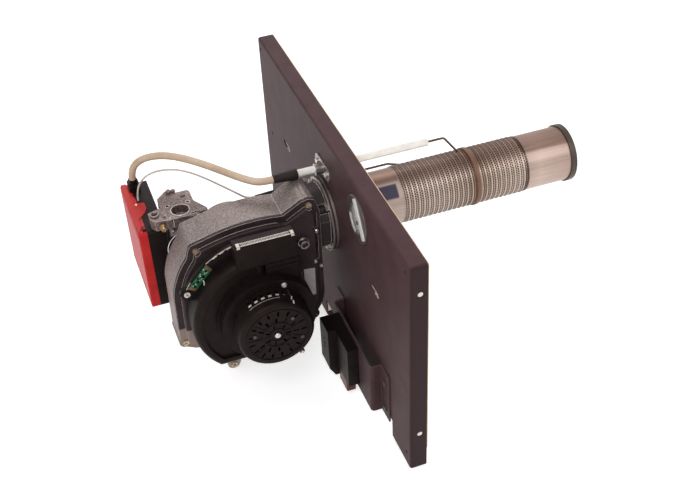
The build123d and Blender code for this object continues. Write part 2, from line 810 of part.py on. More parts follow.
# Electronics box on the wing and the cover, with a rib across its lower half
with BuildPart() as electronics_box:
    with BuildSketch(facing(to_front, fan_x, base_back_y, fan_z)):
        box_outline(0)
        Circle(motor_skirt_r + ebox_gap, mode=Mode.SUBTRACT)
    extrude(amount=base_back_y - ebox_y)
    with BuildSketch(facing(to_front, fan_x, base_back_y, fan_z)):
        wing_sector(wing_r + ebox_gap)
    extrude(amount=base_back_y - wing_y, mode=Mode.SUBTRACT)
    with BuildSketch(facing(to_front, 0, base_back_y, 0)):
        with Locations(((ebox_left + ebox_right) / 2, ebox_top)):
            Rectangle(ebox_right - ebox_left, 2 * (ebox_top - fan_z - wing_r * 0.9))
    extrude(amount=base_back_y - wing_y, mode=Mode.SUBTRACT)
    with BuildSketch(facing(to_front, 0, ebox_y, 0)):
        for z in (ebox_step_z - ebox_rib_width / 2, ebox_step_z - 3 * ebox_rib_width):
            with Locations(((fan_x + motor_split + ebox_right) / 2, z)):
                Rectangle(ebox_right - fan_x - motor_split, ebox_rib_width)
    extrude(amount=ebox_rib_height)
save(electronics_box, "electronics_box")

with BuildPart() as control_board:
    with BuildSketch(facing(to_front, fan_x, wing_y, fan_z)):
        with BuildLine():
            Polyline(polar(wing_r - 1, pcb_start), polar(wing_r - 1, pcb_end),
                     polar(wing_r - 1 - pcb_width, pcb_end), polar(wing_r - 1 - pcb_width, pcb_start),
                     close=True)
        make_face()
    extrude(amount=pcb_t)
save(control_board, "control_board")

# Screw of the wing
with BuildPart() as wing_screw:
    with BuildSketch(facing(to_front, fan_x, wing_y, fan_z)):
        with Locations(wing_screw_spot):
            Circle(cover_screw_d)
    extrude(amount=3)
    with BuildSketch(facing(to_front, fan_x, wing_y - 3, fan_z)):
        with Locations(wing_screw_spot):
            RegularPolygon(cover_screw_d / 2, 6)
    extrude(amount=-2, mode=Mode.SUBTRACT)
save(wing_screw, "wing_screw")

with BuildPart() as connector_strip:
    with BuildSketch(facing(to_front, 0, ebox_y + strip_depth, 0)):
        with Locations(((ebox_left + ebox_right) / 2, ebox_top + strip_height / 2)):
            Rectangle(ebox_right - ebox_left - 4, strip_height)
    extrude(amount=strip_depth)
save(connector_strip, "connector_strip")

# Pressure nipple and test pin on the casing cover
with BuildPart() as pressure_nipple:
    with BuildSketch(facing(to_front, -51, cover_face_y, 6)):
        Circle(7.5)
    extrude(amount=4)
    with BuildSketch(facing(to_front, -51, cover_face_y - 4, 6)):
        Circle(6)
    extrude(amount=6)
    with BuildSketch(facing(to_front, -51, cover_face_y - 10, 6)):
        Circle(4)
    extrude(amount=-8, mode=Mode.SUBTRACT)
save(pressure_nipple, "pressure_nipple")

with BuildPart() as test_pin:
    with BuildSketch(facing(to_front, -34, cover_face_y, 22)):
        Circle(3)
    extrude(amount=9)
    chamfer(test_pin.faces().sort_by(Axis.Y)[0].edges(), 0.8)
save(test_pin, "test_pin")

# Bolts of the outlet flange, through the flange, tube, gasket and plate
with BuildPart() as outlet_bolts:
    with BuildSketch(facing(to_right, outlet_front_x, 0, 0)):
        with Locations(*outlet_bolt_spots):
            Circle(bolt_d / 2)
    extrude(amount=-outlet_front_x + plate_sheet + 6)
    with BuildSketch(facing(to_right, outlet_front_x - 4, 0, 0)):
        with Locations(*outlet_bolt_spots):
            RegularPolygon(5.2, 6)
    extrude(amount=4)
save(outlet_bolts, "outlet_bolts")

# Gas valve: a cast body with the inlet flange on top
port_spots = [(valve_x + i * port_pitch / 2, valve_y + j * port_pitch / 2) for i in (-1, 1) for j in (-1, 1)]
nipple_x = -212.0
nipple_y = 27.0
nipple_z = 22.0
nipple_shank_r = 2.4
boss_x = -218.0
boss_y = 43.0
with BuildPart() as gas_valve:
    with BuildSketch(Plane.XY.offset(valve_bottom)):
        with Locations(((valve_left + valve_right) / 2, (valve_front + valve_back) / 2)):
            RectangleRounded(valve_right - valve_left, valve_back - valve_front, 5)
    extrude(amount=valve_top - 2 - valve_bottom)
    with BuildSketch(Plane.XY.offset(valve_top - 15)):
        with BuildLine():
            Polyline((-205, 27), (-220, 29), (-225, 36), (-225, 50), (-207, 56), (-207, 76), (-194, 89), (-184, 89),
                     (-180, 77), (-171, 75), (-166, 60), (-151, 34), (-151, 25), (-164, 23), close=True)
        make_face()
    extrude(amount=15)
    with BuildSketch(Plane.XY.offset(valve_top)):
        with Locations((valve_x, valve_y)):
            Circle(port_r)
    extrude(amount=-port_depth, mode=Mode.SUBTRACT)
    with BuildSketch(Plane.XY.offset(valve_top)):
        with Locations((valve_x, valve_y)):
            Circle(gas_way_r)
    extrude(amount=-3 * port_depth, mode=Mode.SUBTRACT)
    with BuildSketch(Plane.XY.offset(valve_top)):
        with Locations(*port_spots):
            Circle(port_screw_d / 2)
        with Locations((boss_x, boss_y)):
            Circle(4)
    extrude(amount=-12, mode=Mode.SUBTRACT)
    with BuildSketch(facing(to_left, valve_left, 0, 0)):
        with Locations((-60, -50)):
            Circle(9)
    extrude(amount=valve_left - ctrl_right)
    with BuildSketch(facing(to_right, valve_right, 60, fan_z)):
        Circle(12)
    extrude(amount=fan_x - venturi_body_r + 3 - valve_right)
    with BuildSketch(facing(to_front, fan_x, valve_back, fan_z)):
        Circle(venturi_body_r)
    extrude(amount=valve_back - valve_front, mode=Mode.SUBTRACT)
    with BuildSketch(facing(to_front, nipple_x, nipple_y, nipple_z)):
        Circle(nipple_shank_r + screw_gap)
    extrude(amount=-8, mode=Mode.SUBTRACT)
save(gas_valve, "gas_valve")

with BuildPart() as valve_coil:
    with BuildSketch(facing(to_front, valve_x, valve_front, coil_z)):
        Circle(coil_r - 3)
    extrude(amount=valve_front - coil_front)
    fillet(valve_coil.faces().sort_by(Axis.Y)[0].edges(), radius=3)
save(valve_coil, "valve_coil")

with BuildPart() as coil_ring:
    with BuildSketch(facing(to_front, valve_x, valve_front, coil_z)):
        Circle(coil_r)
        Circle(coil_r - 2.9, mode=Mode.SUBTRACT)
    extrude(amount=4)
    fillet(coil_ring.faces().sort_by(Axis.Y)[0].edges(), radius=1)
save(coil_ring, "coil_ring")

with BuildPart() as valve_base:
    with BuildSketch(Plane.XY.offset(valve_bottom - 8)):
        with Locations(((valve_left + valve_right) / 2, (valve_front + valve_back) / 2)):
            RectangleRounded(valve_right - valve_left - 4, valve_back - valve_front - 4, 5)
    extrude(amount=8)
    fillet(valve_base.faces().sort_by(Axis.Z)[0].edges(), radius=3)
save(valve_base, "valve_base")

with BuildPart() as test_nipple:
    with BuildSketch(facing(to_front, nipple_x, nipple_y + 7, nipple_z)):
        Circle(nipple_shank_r)
    extrude(amount=7)
    with BuildSketch(facing(to_front, nipple_x, nipple_y, nipple_z)):
        RegularPolygon(4.5, 6)
    extrude(amount=4)
    with BuildSketch(facing(to_front, nipple_x, nipple_y - 4, nipple_z)):
        Circle(3)
    extrude(amount=5)
save(test_nipple, "test_nipple")

# Venturi mixer, turned about the fan axis
mixer_start = casing_back + inlet_spigot
mixer_plane = Plane(origin=(fan_x, 0, fan_z), x_dir=(1, 0, 0), z_dir=(0, 0, 1))
mixer_axis = Axis((fan_x, 0, fan_z), (0, 1, 0))
throat_y = mixer_start + 40
with BuildPart() as venturi:
    with BuildSketch(mixer_plane):
        with BuildLine():
            Polyline((inlet_bore_r, mixer_start), (venturi_flange_r, mixer_start),
                     (venturi_flange_r, mixer_start + venturi_flange_t),
                     (inlet_bore_r - 2, mixer_start + venturi_flange_t + 4),
                     (venturi_body_r, throat_y - 18), (venturi_body_r, throat_y + 18),
                     (venturi_mouth_r, venturi_back - 6), (venturi_mouth_r + 3, venturi_back - 6),
                     (venturi_mouth_r + 3, venturi_back), (venturi_mouth_r - 2, venturi_back),
                     (venturi_throat_r, throat_y + 6), (venturi_throat_r, throat_y - 2),
                     close=True)
        make_face()
    revolve(axis=mixer_axis)
    with BuildSketch(Plane.XY.offset(fan_z + venturi_body_r - 4)):
        with Locations((fan_x, throat_y)):
            Circle(throttle_r + 4)
    extrude(amount=7)
    with BuildSketch(Plane.XY.offset(fan_z + venturi_body_r + 3)):
        with Locations((fan_x, throat_y)):
            Circle(throttle_r + running_gap)
    extrude(amount=-throttle_depth - 3.3, mode=Mode.SUBTRACT)
save(venturi, "venturi")

# Controller: a black base with a red cover
cover_split_x = ctrl_left + ctrl_cover_width
with BuildPart() as controller_base:
    with BuildSketch(facing(to_right, cover_split_x, 0, 0)):
        with Locations(((ctrl_near + ctrl_far) / 2, (ctrl_top + ctrl_bottom) / 2)):
            RectangleRounded(ctrl_far - ctrl_near, ctrl_top - ctrl_bottom, 4)
    extrude(amount=ctrl_right - cover_split_x)
    offset(amount=-ctrl_wall, openings=controller_base.faces().sort_by(Axis.X)[0])
save(controller_base, "controller_base")

with BuildPart() as controller_cover:
    with BuildSketch(facing(to_right, ctrl_left, 0, 0)):
        with Locations(((ctrl_near + ctrl_far) / 2, (ctrl_top + ctrl_bottom) / 2)):
            RectangleRounded(ctrl_far - ctrl_near, ctrl_top - ctrl_bottom, 4)
    extrude(amount=ctrl_cover_width)
    fillet(controller_cover.faces().sort_by(Axis.X)[0].edges(), radius=2)
    offset(amount=-ctrl_wall, openings=controller_cover.faces().sort_by(Axis.X)[-1])
save(controller_cover, "controller_cover")

plug_x = -227.0
plug_y = 137.0
with BuildPart() as hv_plug:
    with BuildSketch(Plane.XY.offset(ctrl_top)):
        with Locations((plug_x, plug_y)):
            RectangleRounded(15, 20, 3)
    extrude(amount=8)
    with BuildSketch(Plane.XY.offset(ctrl_top + 8)):
        with Locations((plug_x, plug_y)):
            Circle(hv_lead_r + 1.2)
    extrude(amount=7)
save(hv_plug, "hv_plug")

# Ignition electrode
with BuildPart() as ignition_ceramic:
    with BuildSketch(facing(to_right, ign_front, ign_y, ign_z)):
        Circle(ign_ceramic_r)
        Circle(ign_rod_r + 0.1, mode=Mode.SUBTRACT)
    extrude(amount=ign_back - ign_front)
save(ignition_ceramic, "ignition_ceramic")

rod_end_z = seam_r + rod_gap
with BuildPart() as ignition_rod:
    with BuildLine() as ignition_path:
        FilletPolyline((ign_front - 8, ign_y, ign_z), (ign_tip_x - 20, ign_y, ign_z),
                       (ign_tip_x, ign_y, rod_end_z), radius=6)
    with BuildSketch(facing(to_right, ign_front - 8, ign_y, ign_z)):
        Circle(ign_rod_r)
    sweep()
save(ignition_rod, "ignition_rod")

with BuildPart() as ignition_flange:
    with BuildSketch(facing(to_right, -2, ign_y, ign_z)):
        SlotOverall(54, 20)
        Circle(ign_ceramic_r + 0.05, mode=Mode.SUBTRACT)
        with Locations((-ign_screw_pitch / 2, 0), (ign_screw_pitch / 2, 0)):
            Circle(2.05, mode=Mode.SUBTRACT)
    extrude(amount=2)
    with BuildSketch(facing(to_right, -12, ign_y, ign_z)):
        Circle(ign_ceramic_r + 2.5)
        Circle(ign_ceramic_r + 0.05, mode=Mode.SUBTRACT)
    extrude(amount=10)
save(ignition_flange, "ignition_flange")

with BuildPart() as ignition_boot:
    with BuildSketch(Plane.XY.offset(ign_z)):
        with BuildLine():
            Polyline((boot_end, ign_y), (boot_end, ign_y + hv_lead_r + 0.5), (boot_end + 6, ign_y + hv_lead_r + 1),
                     (ign_front, ign_y + 7.2), (ign_front, ign_y + ign_rod_r + 0.05),
                     (ign_front - 8.5, ign_y + ign_rod_r + 0.05), (ign_front - 8.5, ign_y), close=True)
        make_face()
    revolve(axis=Axis((0, ign_y, ign_z), (1, 0, 0)))
save(ignition_boot, "ignition_boot")

# Ionisation electrode
with BuildPart() as ionisation_ceramic:
    with BuildSketch(facing(to_right, ion_front, ion_y, ion_z)):
        Circle(ion_ceramic_r)
        Circle(ion_rod_r + 0.1, mode=Mode.SUBTRACT)
    extrude(amount=ion_back - ion_front)
save(ionisation_ceramic, "ionisation_ceramic")

with BuildPart() as ionisation_rod:
    with BuildLine() as ionisation_path:
        FilletPolyline((ion_front - 10, ion_y, ion_z), (ion_tip_x - 40, ion_y, ion_z),
                       (ion_tip_x - 15, ion_y - 14, ion_z), (ion_tip_x, ion_y - 15, ion_z), radius=8)
    with BuildSketch(facing(to_right, ion_front - 10, ion_y, ion_z)):
        Circle(ion_rod_r)
    sweep()
save(ionisation_rod, "ionisation_rod")

with BuildPart() as ionisation_gland:
    with BuildSketch(facing(to_right, -16, ion_y, ion_z)):
        RegularPolygon(8, 6)
        Circle(ion_ceramic_r + 0.05, mode=Mode.SUBTRACT)
    extrude(amount=8)
    with BuildSketch(facing(to_right, -8, ion_y, ion_z)):
        Circle(7)
        Circle(ion_ceramic_r + 0.05, mode=Mode.SUBTRACT)
    extrude(amount=8)
save(ionisation_gland, "ionisation_gland")

with BuildPart() as ionisation_sleeve:
    with BuildSketch(Plane.XY.offset(ion_z)):
        with BuildLine():
            Polyline((sleeve_end, ion_y), (sleeve_end, ion_y + 2), (ion_front, ion_y + 3.4),
                     (ion_front, ion_y + ion_rod_r + 0.05), (ion_front - 10.5, ion_y + ion_rod_r + 0.05),
                     (ion_front - 10.5, ion_y), close=True)
        make_face()
    revolve(axis=Axis((0, ion_y, ion_z), (1, 0, 0)))
save(ionisation_sleeve, "ionisation_sleeve")

# Sight glass in the plate: a pressed ring, a glass and the strap that holds them
glass_face_x = -glass_ring_t
with BuildPart() as sight_ring:
    with BuildSketch(facing(to_right, -glass_ring_t, glass_y, glass_z)):
        Circle(glass_ring_r)
        Circle(glass_r - 2, mode=Mode.SUBTRACT)
    extrude(amount=glass_ring_t)
    fillet(sight_ring.edges().filter_by(GeomType.CIRCLE).group_by(Axis.X)[0].sort_by(SortBy.RADIUS)[-1], 1.5)
    with BuildSketch(facing(to_right, -glass_ring_t, glass_y, glass_z)):
        Circle(glass_r + 0.1)
    extrude(amount=glass_ring_t - 1.2, mode=Mode.SUBTRACT)
save(sight_ring, "sight_ring")

with BuildPart() as sight_lens:
    with BuildSketch(facing(to_right, -glass_ring_t + 0.3, glass_y, glass_z)):
        Circle(glass_r)
    extrude(amount=glass_ring_t - 1.5)
save(sight_lens, "sight_lens")

strap_angle = 56.0
strap_y = glass_y - strap_offset * math.sin(math.radians(strap_angle))
strap_z = glass_z + strap_offset * math.cos(math.radians(strap_angle))
with BuildPart() as sight_strap:
    with BuildSketch(facing(to_right, -glass_ring_t - 1.5, strap_y, strap_z)):
        RectangleRounded(strap_length, strap_width, 2, rotation=strap_angle)
    extrude(amount=1.5)
save(sight_strap, "sight_strap")

# Bracket, a folded hat section with its two feet on the plate
bracket_face_x = -bracket_stand
bracket_height = bracket_top - bracket_bottom
with BuildPart() as bracket:
    with BuildSketch(Plane.XY.offset(bracket_bottom)):
        with BuildLine() as bracket_line:
            FilletPolyline((0, bracket_far_foot), (0, bracket_far), (bracket_face_x, bracket_far),
                           (bracket_face_x, bracket_near), (0, bracket_near), (0, bracket_near_foot),
                           radius=3)
            offset(amount=bracket_sheet, side=Side.RIGHT)
        make_face()
    extrude(amount=bracket_height)
    with BuildSketch(facing(to_right, -bracket_sheet, 0, 0)):
        with Locations(*bracket_screw_spots):
            Circle(bracket_screw_r + screw_gap)
    extrude(amount=bracket_sheet, mode=Mode.SUBTRACT)
save(bracket, "bracket")

with BuildPart() as bracket_screws:
    with BuildSketch(facing(to_right, -bracket_sheet, 0, 0)):
        with Locations(*bracket_screw_spots):
            Circle(bracket_screw_r)
    extrude(amount=bracket_sheet + plate_sheet + 3)
    with BuildSketch(facing(to_right, -bracket_sheet - 2, 0, 0)):
        with Locations(*bracket_screw_spots):
            Circle(2 * bracket_screw_r)
    extrude(amount=2)
save(bracket_screws, "bracket_screws")

# Connector box on the face of the bracket, with its brown plug
box_back_x = bracket_face_x - bracket_sheet
with BuildPart() as connector_box:
    with BuildSketch(facing(to_front, 0, box_far_y, 0)):
        with BuildLine():
            Polyline((box_back_x, box_top), (box_front_x, box_top), (box_front_x, box_bottom + 14),
                     (box_front_x + 8, box_bottom), (box_back_x, box_bottom), close=True)
        make_face()
    extrude(amount=box_far_y - box_middle_y)
    with BuildSketch(facing(to_front, 0, box_middle_y, 0)):
        with Locations(((box_back_x + box_step_x) / 2, (box_top + box_step_z) / 2)):
            Rectangle(box_back_x - box_step_x, box_top - box_step_z)
    extrude(amount=box_middle_y - box_near_y)
save(connector_box, "connector_box")

with BuildPart() as mains_plug:
    with BuildSketch(Plane.XY.offset(plug_bottom)):
        with Locations(((box_back_x + box_step_x) / 2, (box_middle_y + box_near_y) / 2 + 4)):
            RectangleRounded(box_back_x - box_step_x - 2, 30, 2)
    extrude(amount=box_step_z - plug_bottom)
save(mains_plug, "mains_plug")

with BuildPart() as ignition_screws:
    with BuildSketch(facing(to_right, -ign_flange_t, 0, 0)):
        with Locations(*ign_screw_spots):
            Circle(ign_screw_r)
    extrude(amount=ign_flange_t + plate_sheet + 3)
    with BuildSketch(facing(to_right, -ign_flange_t - 2.5, 0, 0)):
        with Locations(*ign_screw_spots):
            Circle(2 * ign_screw_r)
    extrude(amount=2.5)
save(ignition_screws, "ignition_screws")

# Air adjusting screw on the mixer, turned by hand in its boss
with BuildPart() as throttle_screw:
    with BuildSketch(Plane.XY.offset(fan_z + venturi_body_r - throttle_depth)):
        with Locations((fan_x, throat_y)):
            Circle(throttle_r)
    extrude(amount=throttle_depth + 3)
    with BuildSketch(Plane.XY.offset(fan_z + venturi_body_r + 3)):
        with Locations((fan_x, throat_y)):
            Circle(throttle_r + 2)
            Rectangle(2 * throttle_r + 6, 1, mode=Mode.SUBTRACT)
    extrude(amount=3)
save(throttle_screw, "throttle_screw")


def tube_radii(points):
    """Largest fair radius at each corner of a lead's route."""
    radii = []
    for before, here, after in zip(points, points[1:], points[2:]):
        run_in = Vector(here) - Vector(before)
        run_out = Vector(after) - Vector(here)
        turn = math.radians(run_in.get_angle(run_out))
        radii.append(0.45 * min(run_in.length, run_out.length) / math.tan(turn / 2))
    return radii


def lead(points, radius, name):
    """A lead along its route, as straight runs joined by tangent arcs."""
    radii = tube_radii(points)
    start = Vector(points[1]) - Vector(points[0])
    with BuildPart() as tube:
        with BuildLine() as route:
            FilletPolyline(*points, radius=radii)
        with BuildSketch(Plane(origin=points[0], z_dir=start)):
            Circle(radius)
        sweep()
    length = sum(edge.length for edge in route.edges())
    area = math.pi * radius ** 2
    print(name, "length", round(length, 1), "radii", [round(r, 1) for r in radii],
          "volume ratio", round(tube.part.volume / (length * area), 4))
    save(tube, name)


# High voltage lead from the controller to the ignition electrode
hv_points = [(plug_x, plug_y, ctrl_top + 15.3), (-226, 137, 42), (-217, 132, 57), (-200, 121, 68),
             (-177, 103, 74), (-153, 78, 75), (-131, 52, 74), (-112, 28, 72.5), (-97, 12, 71),
             (-84, ign_y, ign_z), (boot_end, ign_y, ign_z)]
lead(hv_points, hv_lead_r, "hv_lead")

# Thin lead from the controller to the ionisation electrode
thin_points = [(-228, 107, ctrl_top + 0.15), (-227, 106.5, 27), (-222, 104, 42), (-212, 99, 55), (-197, 93, 62),
               (-178, 86, 63.5), (-159, 79, 58), (-140, 72, 47), (-121, 66, 33), (-104, 62, 19.5),
               (-91, ion_y, ion_z), (sleeve_end, ion_y, ion_z)]
lead(thin_points, thin_lead_r, "thin_lead")
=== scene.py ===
"""Looks of the premix gas burner, built round its CAD parts. Lengths are millimetres, unless said."""

import math
import random
from types import SimpleNamespace

import bmesh
import bpy
from mathutils import Matrix, Vector


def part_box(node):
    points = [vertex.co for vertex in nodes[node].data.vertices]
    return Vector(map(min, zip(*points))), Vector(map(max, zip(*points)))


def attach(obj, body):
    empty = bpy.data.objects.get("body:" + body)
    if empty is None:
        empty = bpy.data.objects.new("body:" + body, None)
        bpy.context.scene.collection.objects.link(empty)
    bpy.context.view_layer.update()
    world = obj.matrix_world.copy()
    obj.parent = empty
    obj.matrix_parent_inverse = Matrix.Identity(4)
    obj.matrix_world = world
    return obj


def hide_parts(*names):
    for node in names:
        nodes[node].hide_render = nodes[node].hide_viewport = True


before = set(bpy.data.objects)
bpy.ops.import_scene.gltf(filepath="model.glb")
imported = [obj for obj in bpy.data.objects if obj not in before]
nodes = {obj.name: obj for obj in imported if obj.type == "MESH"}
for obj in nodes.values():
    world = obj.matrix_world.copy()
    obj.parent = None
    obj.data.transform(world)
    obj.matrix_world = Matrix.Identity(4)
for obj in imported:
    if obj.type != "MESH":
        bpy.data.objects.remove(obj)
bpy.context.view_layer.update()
random.seed(7)

MM = 0.001
scene = bpy.context.scene
scene.view_settings.view_transform = "Standard"

# Camera, at the photograph's viewing angle, with its place in metres
SENSOR_WIDTH, LENS = 36.0, 57.32
CAMERA_PLACE = (-0.35121, -1.1156, 0.88926)
AZIMUTH, ELEVATION, ROLL = (math.radians(angle) for angle in (-18.84, 39.26, -2.71))
FARTHEST_SEEN = 50

camera_data = bpy.data.cameras.new("camera")
camera_data.sensor_width = SENSOR_WIDTH
camera_data.lens = LENS
camera_data.clip_end = FARTHEST_SEEN
camera = bpy.data.objects.new("camera", camera_data)
scene.collection.objects.link(camera)
back = Vector((math.sin(AZIMUTH) * math.cos(ELEVATION), -math.cos(AZIMUTH) * math.cos(ELEVATION),
               math.sin(ELEVATION)))
right = (-back).cross(Vector((0, 0, 1))).normalized()
up = right.cross(-back)
camera_right = math.cos(ROLL) * right + math.sin(ROLL) * up
camera_up = -math.sin(ROLL) * right + math.cos(ROLL) * up
camera.matrix_world = Matrix.Translation(CAMERA_PLACE) @ Matrix(
    (camera_right, camera_up, back)).transposed().to_4x4()
scene.camera = camera


# Places that the looks are worked out from

def edges(name):
    """Sides of a CAD node: left and right along X, front and back along Y, bottom and top along Z."""
    lower, upper = ([round(value / MM, 3) for value in corner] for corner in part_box(name))
    return SimpleNamespace(left=lower[0], front=lower[1], bottom=lower[2],
                           right=upper[0], back=upper[1], top=upper[2])


plate = edges("mounting_plate")
sleeve = edges("flame_sleeve")
seam = edges("seam_band")
cover = edges("casing_cover")
cap = edges("motor_cap")
circuit = edges("control_board")
strip = edges("connector_strip")
valve = edges("gas_valve")
coil = edges("valve_coil")
controller = edges("controller_cover")
sight = edges("sight_ring")
strap = edges("sight_strap")
plug_box = edges("connector_box")

FAN_X, FAN_Z = round((cap.left + cap.right) / 2, 3), round((cap.bottom + cap.top) / 2, 3)
BORE_X, BORE_Y = (coil.left + coil.right) / 2, 42
SIGHT_Y, SIGHT_Z = round((sight.front + sight.back) / 2), round((sight.bottom + sight.top) / 2)
SEAM_X = (seam.left + seam.right) / 2
TUBE_LENGTH = 350


# Materials

NOISE_LOW, NOISE_HIGH = 0.3, 0.7  # most values of a noise lie between these two


def linear(colour):
    """Linear values of a colour given as 0 to 255."""
    return tuple((c / 255 / 12.92) if c <= 10 else ((c / 255 + 0.055) / 1.055) ** 2.4 for c in colour)


def link(tree, source, target):
    tree.links.new(source, target)


def node(tree, kind, **inputs):
    """A shader node with values for its inputs, whose names have _ for a space."""
    made = tree.nodes.new(kind)
    for name, value in inputs.items():
        made.inputs[name.replace("_", " ")].default_value = value
    return made


def new_material(name):
    made = bpy.data.materials.new(name)
    made.use_nodes = True
    tree = made.node_tree
    return made, tree, tree.nodes["Principled BSDF"]


def object_coords(tree):
    return tree.nodes.new("ShaderNodeTexCoord").outputs["Object"]


def calculate(tree, operation, *values):
    """A number worked out from links and plain numbers."""
    made = tree.nodes.new("ShaderNodeMath")
    made.operation = operation
    for place, value in zip(made.inputs, values):
        if isinstance(value, (int, float)):
            place.default_value = value
        else:
            link(tree, value, place)
    return made.outputs["Value"]


def remap(tree, value, from_low, from_high, to_low=0.0, to_high=1.0):
    """A number carried from one range to another and kept inside it."""
    made = node(tree, "ShaderNodeMapRange", From_Min=from_low, From_Max=from_high,
                To_Min=to_low, To_Max=to_high)
    link(tree, value, made.inputs["Value"])
    return made.outputs["Result"]


def spread(tree, value, to_low, to_high):
    """A noise spread over a range."""
    return remap(tree, value, NOISE_LOW, NOISE_HIGH, to_low, to_high)


def noise(tree, coords, scale, detail=4.0, roughness=0.55, stretch=None):
    source = coords
    if stretch:
        mapping = node(tree, "ShaderNodeMapping", Scale=stretch)
        link(tree, coords, mapping.inputs["Vector"])
        source = mapping.outputs["Vector"]
    made = node(tree, "ShaderNodeTexNoise", Scale=scale, Detail=detail, Roughness=roughness)
    link(tree, source, made.inputs["Vector"])
    return made.outputs["Fac"]


def ramp(tree, value, stops):
    """A colour that follows a number, through stops of a place and a linear colour."""
    made = tree.nodes.new("ShaderNodeValToRGB")
    elements = made.color_ramp.elements
    while len(elements) < len(stops):
        elements.new(0.5)
    for element, (position, colour) in zip(elements, stops):
        element.position = position
        element.color = (*colour, 1)
    link(tree, value, made.inputs["Fac"])
    return made.outputs["Color"]


def zone(tree, coords, soft=1.5, **limits):
    """1 inside a box and 0 outside it, with limits on x, y and z and a soft border."""
    split = tree.nodes.new("ShaderNodeSeparateXYZ")
    link(tree, coords, split.inputs["Vector"])
    inside = None
    for axis, (lower, upper) in limits.items():
        for edge, side in ((lower, 1), (upper, -1)):
            if edge is None:
                continue
            border = side * soft
            value = remap(tree, split.outputs[axis.upper()], (edge - border) * MM, (edge + border) * MM)
            inside = value if inside is None else calculate(tree, "MULTIPLY", inside, value)
    return inside


def blend(tree, amount, one, two, kind="MIX"):
    """A colour that goes from one to two, each a link or a colour of 0 to 255."""
    mix = tree.nodes.new("ShaderNodeMix")
    mix.data_type = "RGBA"
    mix.blend_type = kind
    if isinstance(amount, float):
        mix.inputs["Factor"].default_value = amount
    else:
        link(tree, amount, mix.inputs["Factor"])
    for name, source in (("A", one), ("B", two)):
        if isinstance(source, tuple):
            mix.inputs[name].default_value = (*linear(source), 1)
        else:
            link(tree, source, mix.inputs[name])
    return mix.outputs["Result"]


def turned_edge(tree, rounded):
    """1 where the rounded normal turns away from the real one, which is at edges, and 0 on flat faces."""
    turn = tree.nodes.new("ShaderNodeVectorMath")
    turn.operation = "DOT_PRODUCT"
    link(tree, rounded, turn.inputs[0])
    link(tree, tree.nodes.new("ShaderNodeNewGeometry").outputs["Normal"], turn.inputs[1])
    flat, fully_turned = 0.99, 0.86
    return remap(tree, turn.outputs["Value"], flat, fully_turned)


def surface(name, dark, light, scale=120.0, rough=(0.4, 0.6), metal=0.0, grain=900.0, bump=0.1,
            stretch=None, specular=0.5, edge=0.0, sheen=0.0, wear_and_highlight=None, patches=(), tint=None):
    """A surface whose colour drifts between two tones, with fine grain, and edges brightened to another
    tone, which is partly wear and partly a painted highlight.
    """
    made, tree, shader = new_material(name)
    coords = object_coords(tree)
    drift = noise(tree, coords, scale, detail=5.0, roughness=0.6, stretch=stretch)
    colour = ramp(tree, drift, [(0.35, linear(dark)), (0.65, linear(light))])
    for tone, limits in patches:
        colour = blend(tree, zone(tree, coords, **limits), colour, tone)
    fine = noise(tree, coords, grain, detail=3.0, roughness=0.6, stretch=stretch)
    link(tree, spread(tree, fine, *rough), shader.inputs["Roughness"])
    relief = node(tree, "ShaderNodeBump", Strength=bump, Distance=0.4 * MM)
    link(tree, fine, relief.inputs["Height"])
    if edge:
        bevel = node(tree, "ShaderNodeBevel", Radius=edge * MM)
        bevel.samples = 4
        rounded = bevel.outputs["Normal"]
        link(tree, rounded, relief.inputs["Normal"])
    # edges brightened: partly wear, partly a painted highlight where edges catch the light
    if wear_and_highlight:
        colour = blend(tree, turned_edge(tree, rounded), colour, wear_and_highlight)
    link(tree, colour, shader.inputs["Base Color"])
    link(tree, relief.outputs["Normal"], shader.inputs["Normal"])
    shader.inputs["Metallic"].default_value = metal
    shader.inputs["Specular IOR Level"].default_value = specular
    if sheen:
        shader.inputs["Sheen Weight"].default_value = sheen
    if tint:
        shader.inputs["Specular Tint"].default_value = (*linear(tint), 1)
    return made


def clear_glass(name):
    """Glass with a faint drift of tone."""
    made, tree, shader = new_material(name)
    coords = object_coords(tree)
    tones = [(NOISE_LOW, (0.82, 0.85, 0.88)), (NOISE_HIGH, (0.95, 0.96, 0.97))]
    link(tree, ramp(tree, noise(tree, coords, 80), tones), shader.inputs["Base Color"])
    link(tree, spread(tree, noise(tree, coords, 900), 0.02, 0.08), shader.inputs["Roughness"])
    shader.inputs["Transmission Weight"].default_value = 0.85
    return made


def tube_steel(name, tints, streak=0.25, rough=(0.3, 0.46), patches=()):
    """Stainless steel brushed along X, with tones that follow X: heat tints, and at the end of the flame
    sleeve a dark tone that is painted shade.
    """
    made, tree, shader = new_material(name)
    coords = object_coords(tree)
    split = tree.nodes.new("ShaderNodeSeparateXYZ")
    link(tree, coords, split.inputs["Vector"])
    along = remap(tree, split.outputs["X"], 0.0, TUBE_LENGTH * MM)
    wander, wander_middle = 0.09, 15
    shifted = calculate(tree, "MULTIPLY_ADD", noise(tree, coords, 22, detail=3.0), wander, along)
    colour = ramp(tree, shifted, [((x + wander_middle) / TUBE_LENGTH, linear(tone)) for x, tone in tints])
    streaks = noise(tree, coords, 260, detail=4.0, roughness=0.7, stretch=(0.06, 1.6, 1.6))
    streak_tones = ramp(tree, streaks, [(NOISE_LOW, (0.45, 0.42, 0.4)), (NOISE_HIGH, (1, 1, 1))])
    colour = blend(tree, streak, colour, streak_tones, "MULTIPLY")
    for tone, limits in patches:
        colour = blend(tree, zone(tree, coords, **limits), colour, tone, "MULTIPLY")
    link(tree, colour, shader.inputs["Base Color"])
    link(tree, spread(tree, streaks, *rough), shader.inputs["Roughness"])
    relief = node(tree, "ShaderNodeBump", Strength=0.08, Distance=0.3 * MM)
    link(tree, streaks, relief.inputs["Height"])
    link(tree, relief.outputs["Normal"], shader.inputs["Normal"])
    shader.inputs["Metallic"].default_value = 0.85
    return made
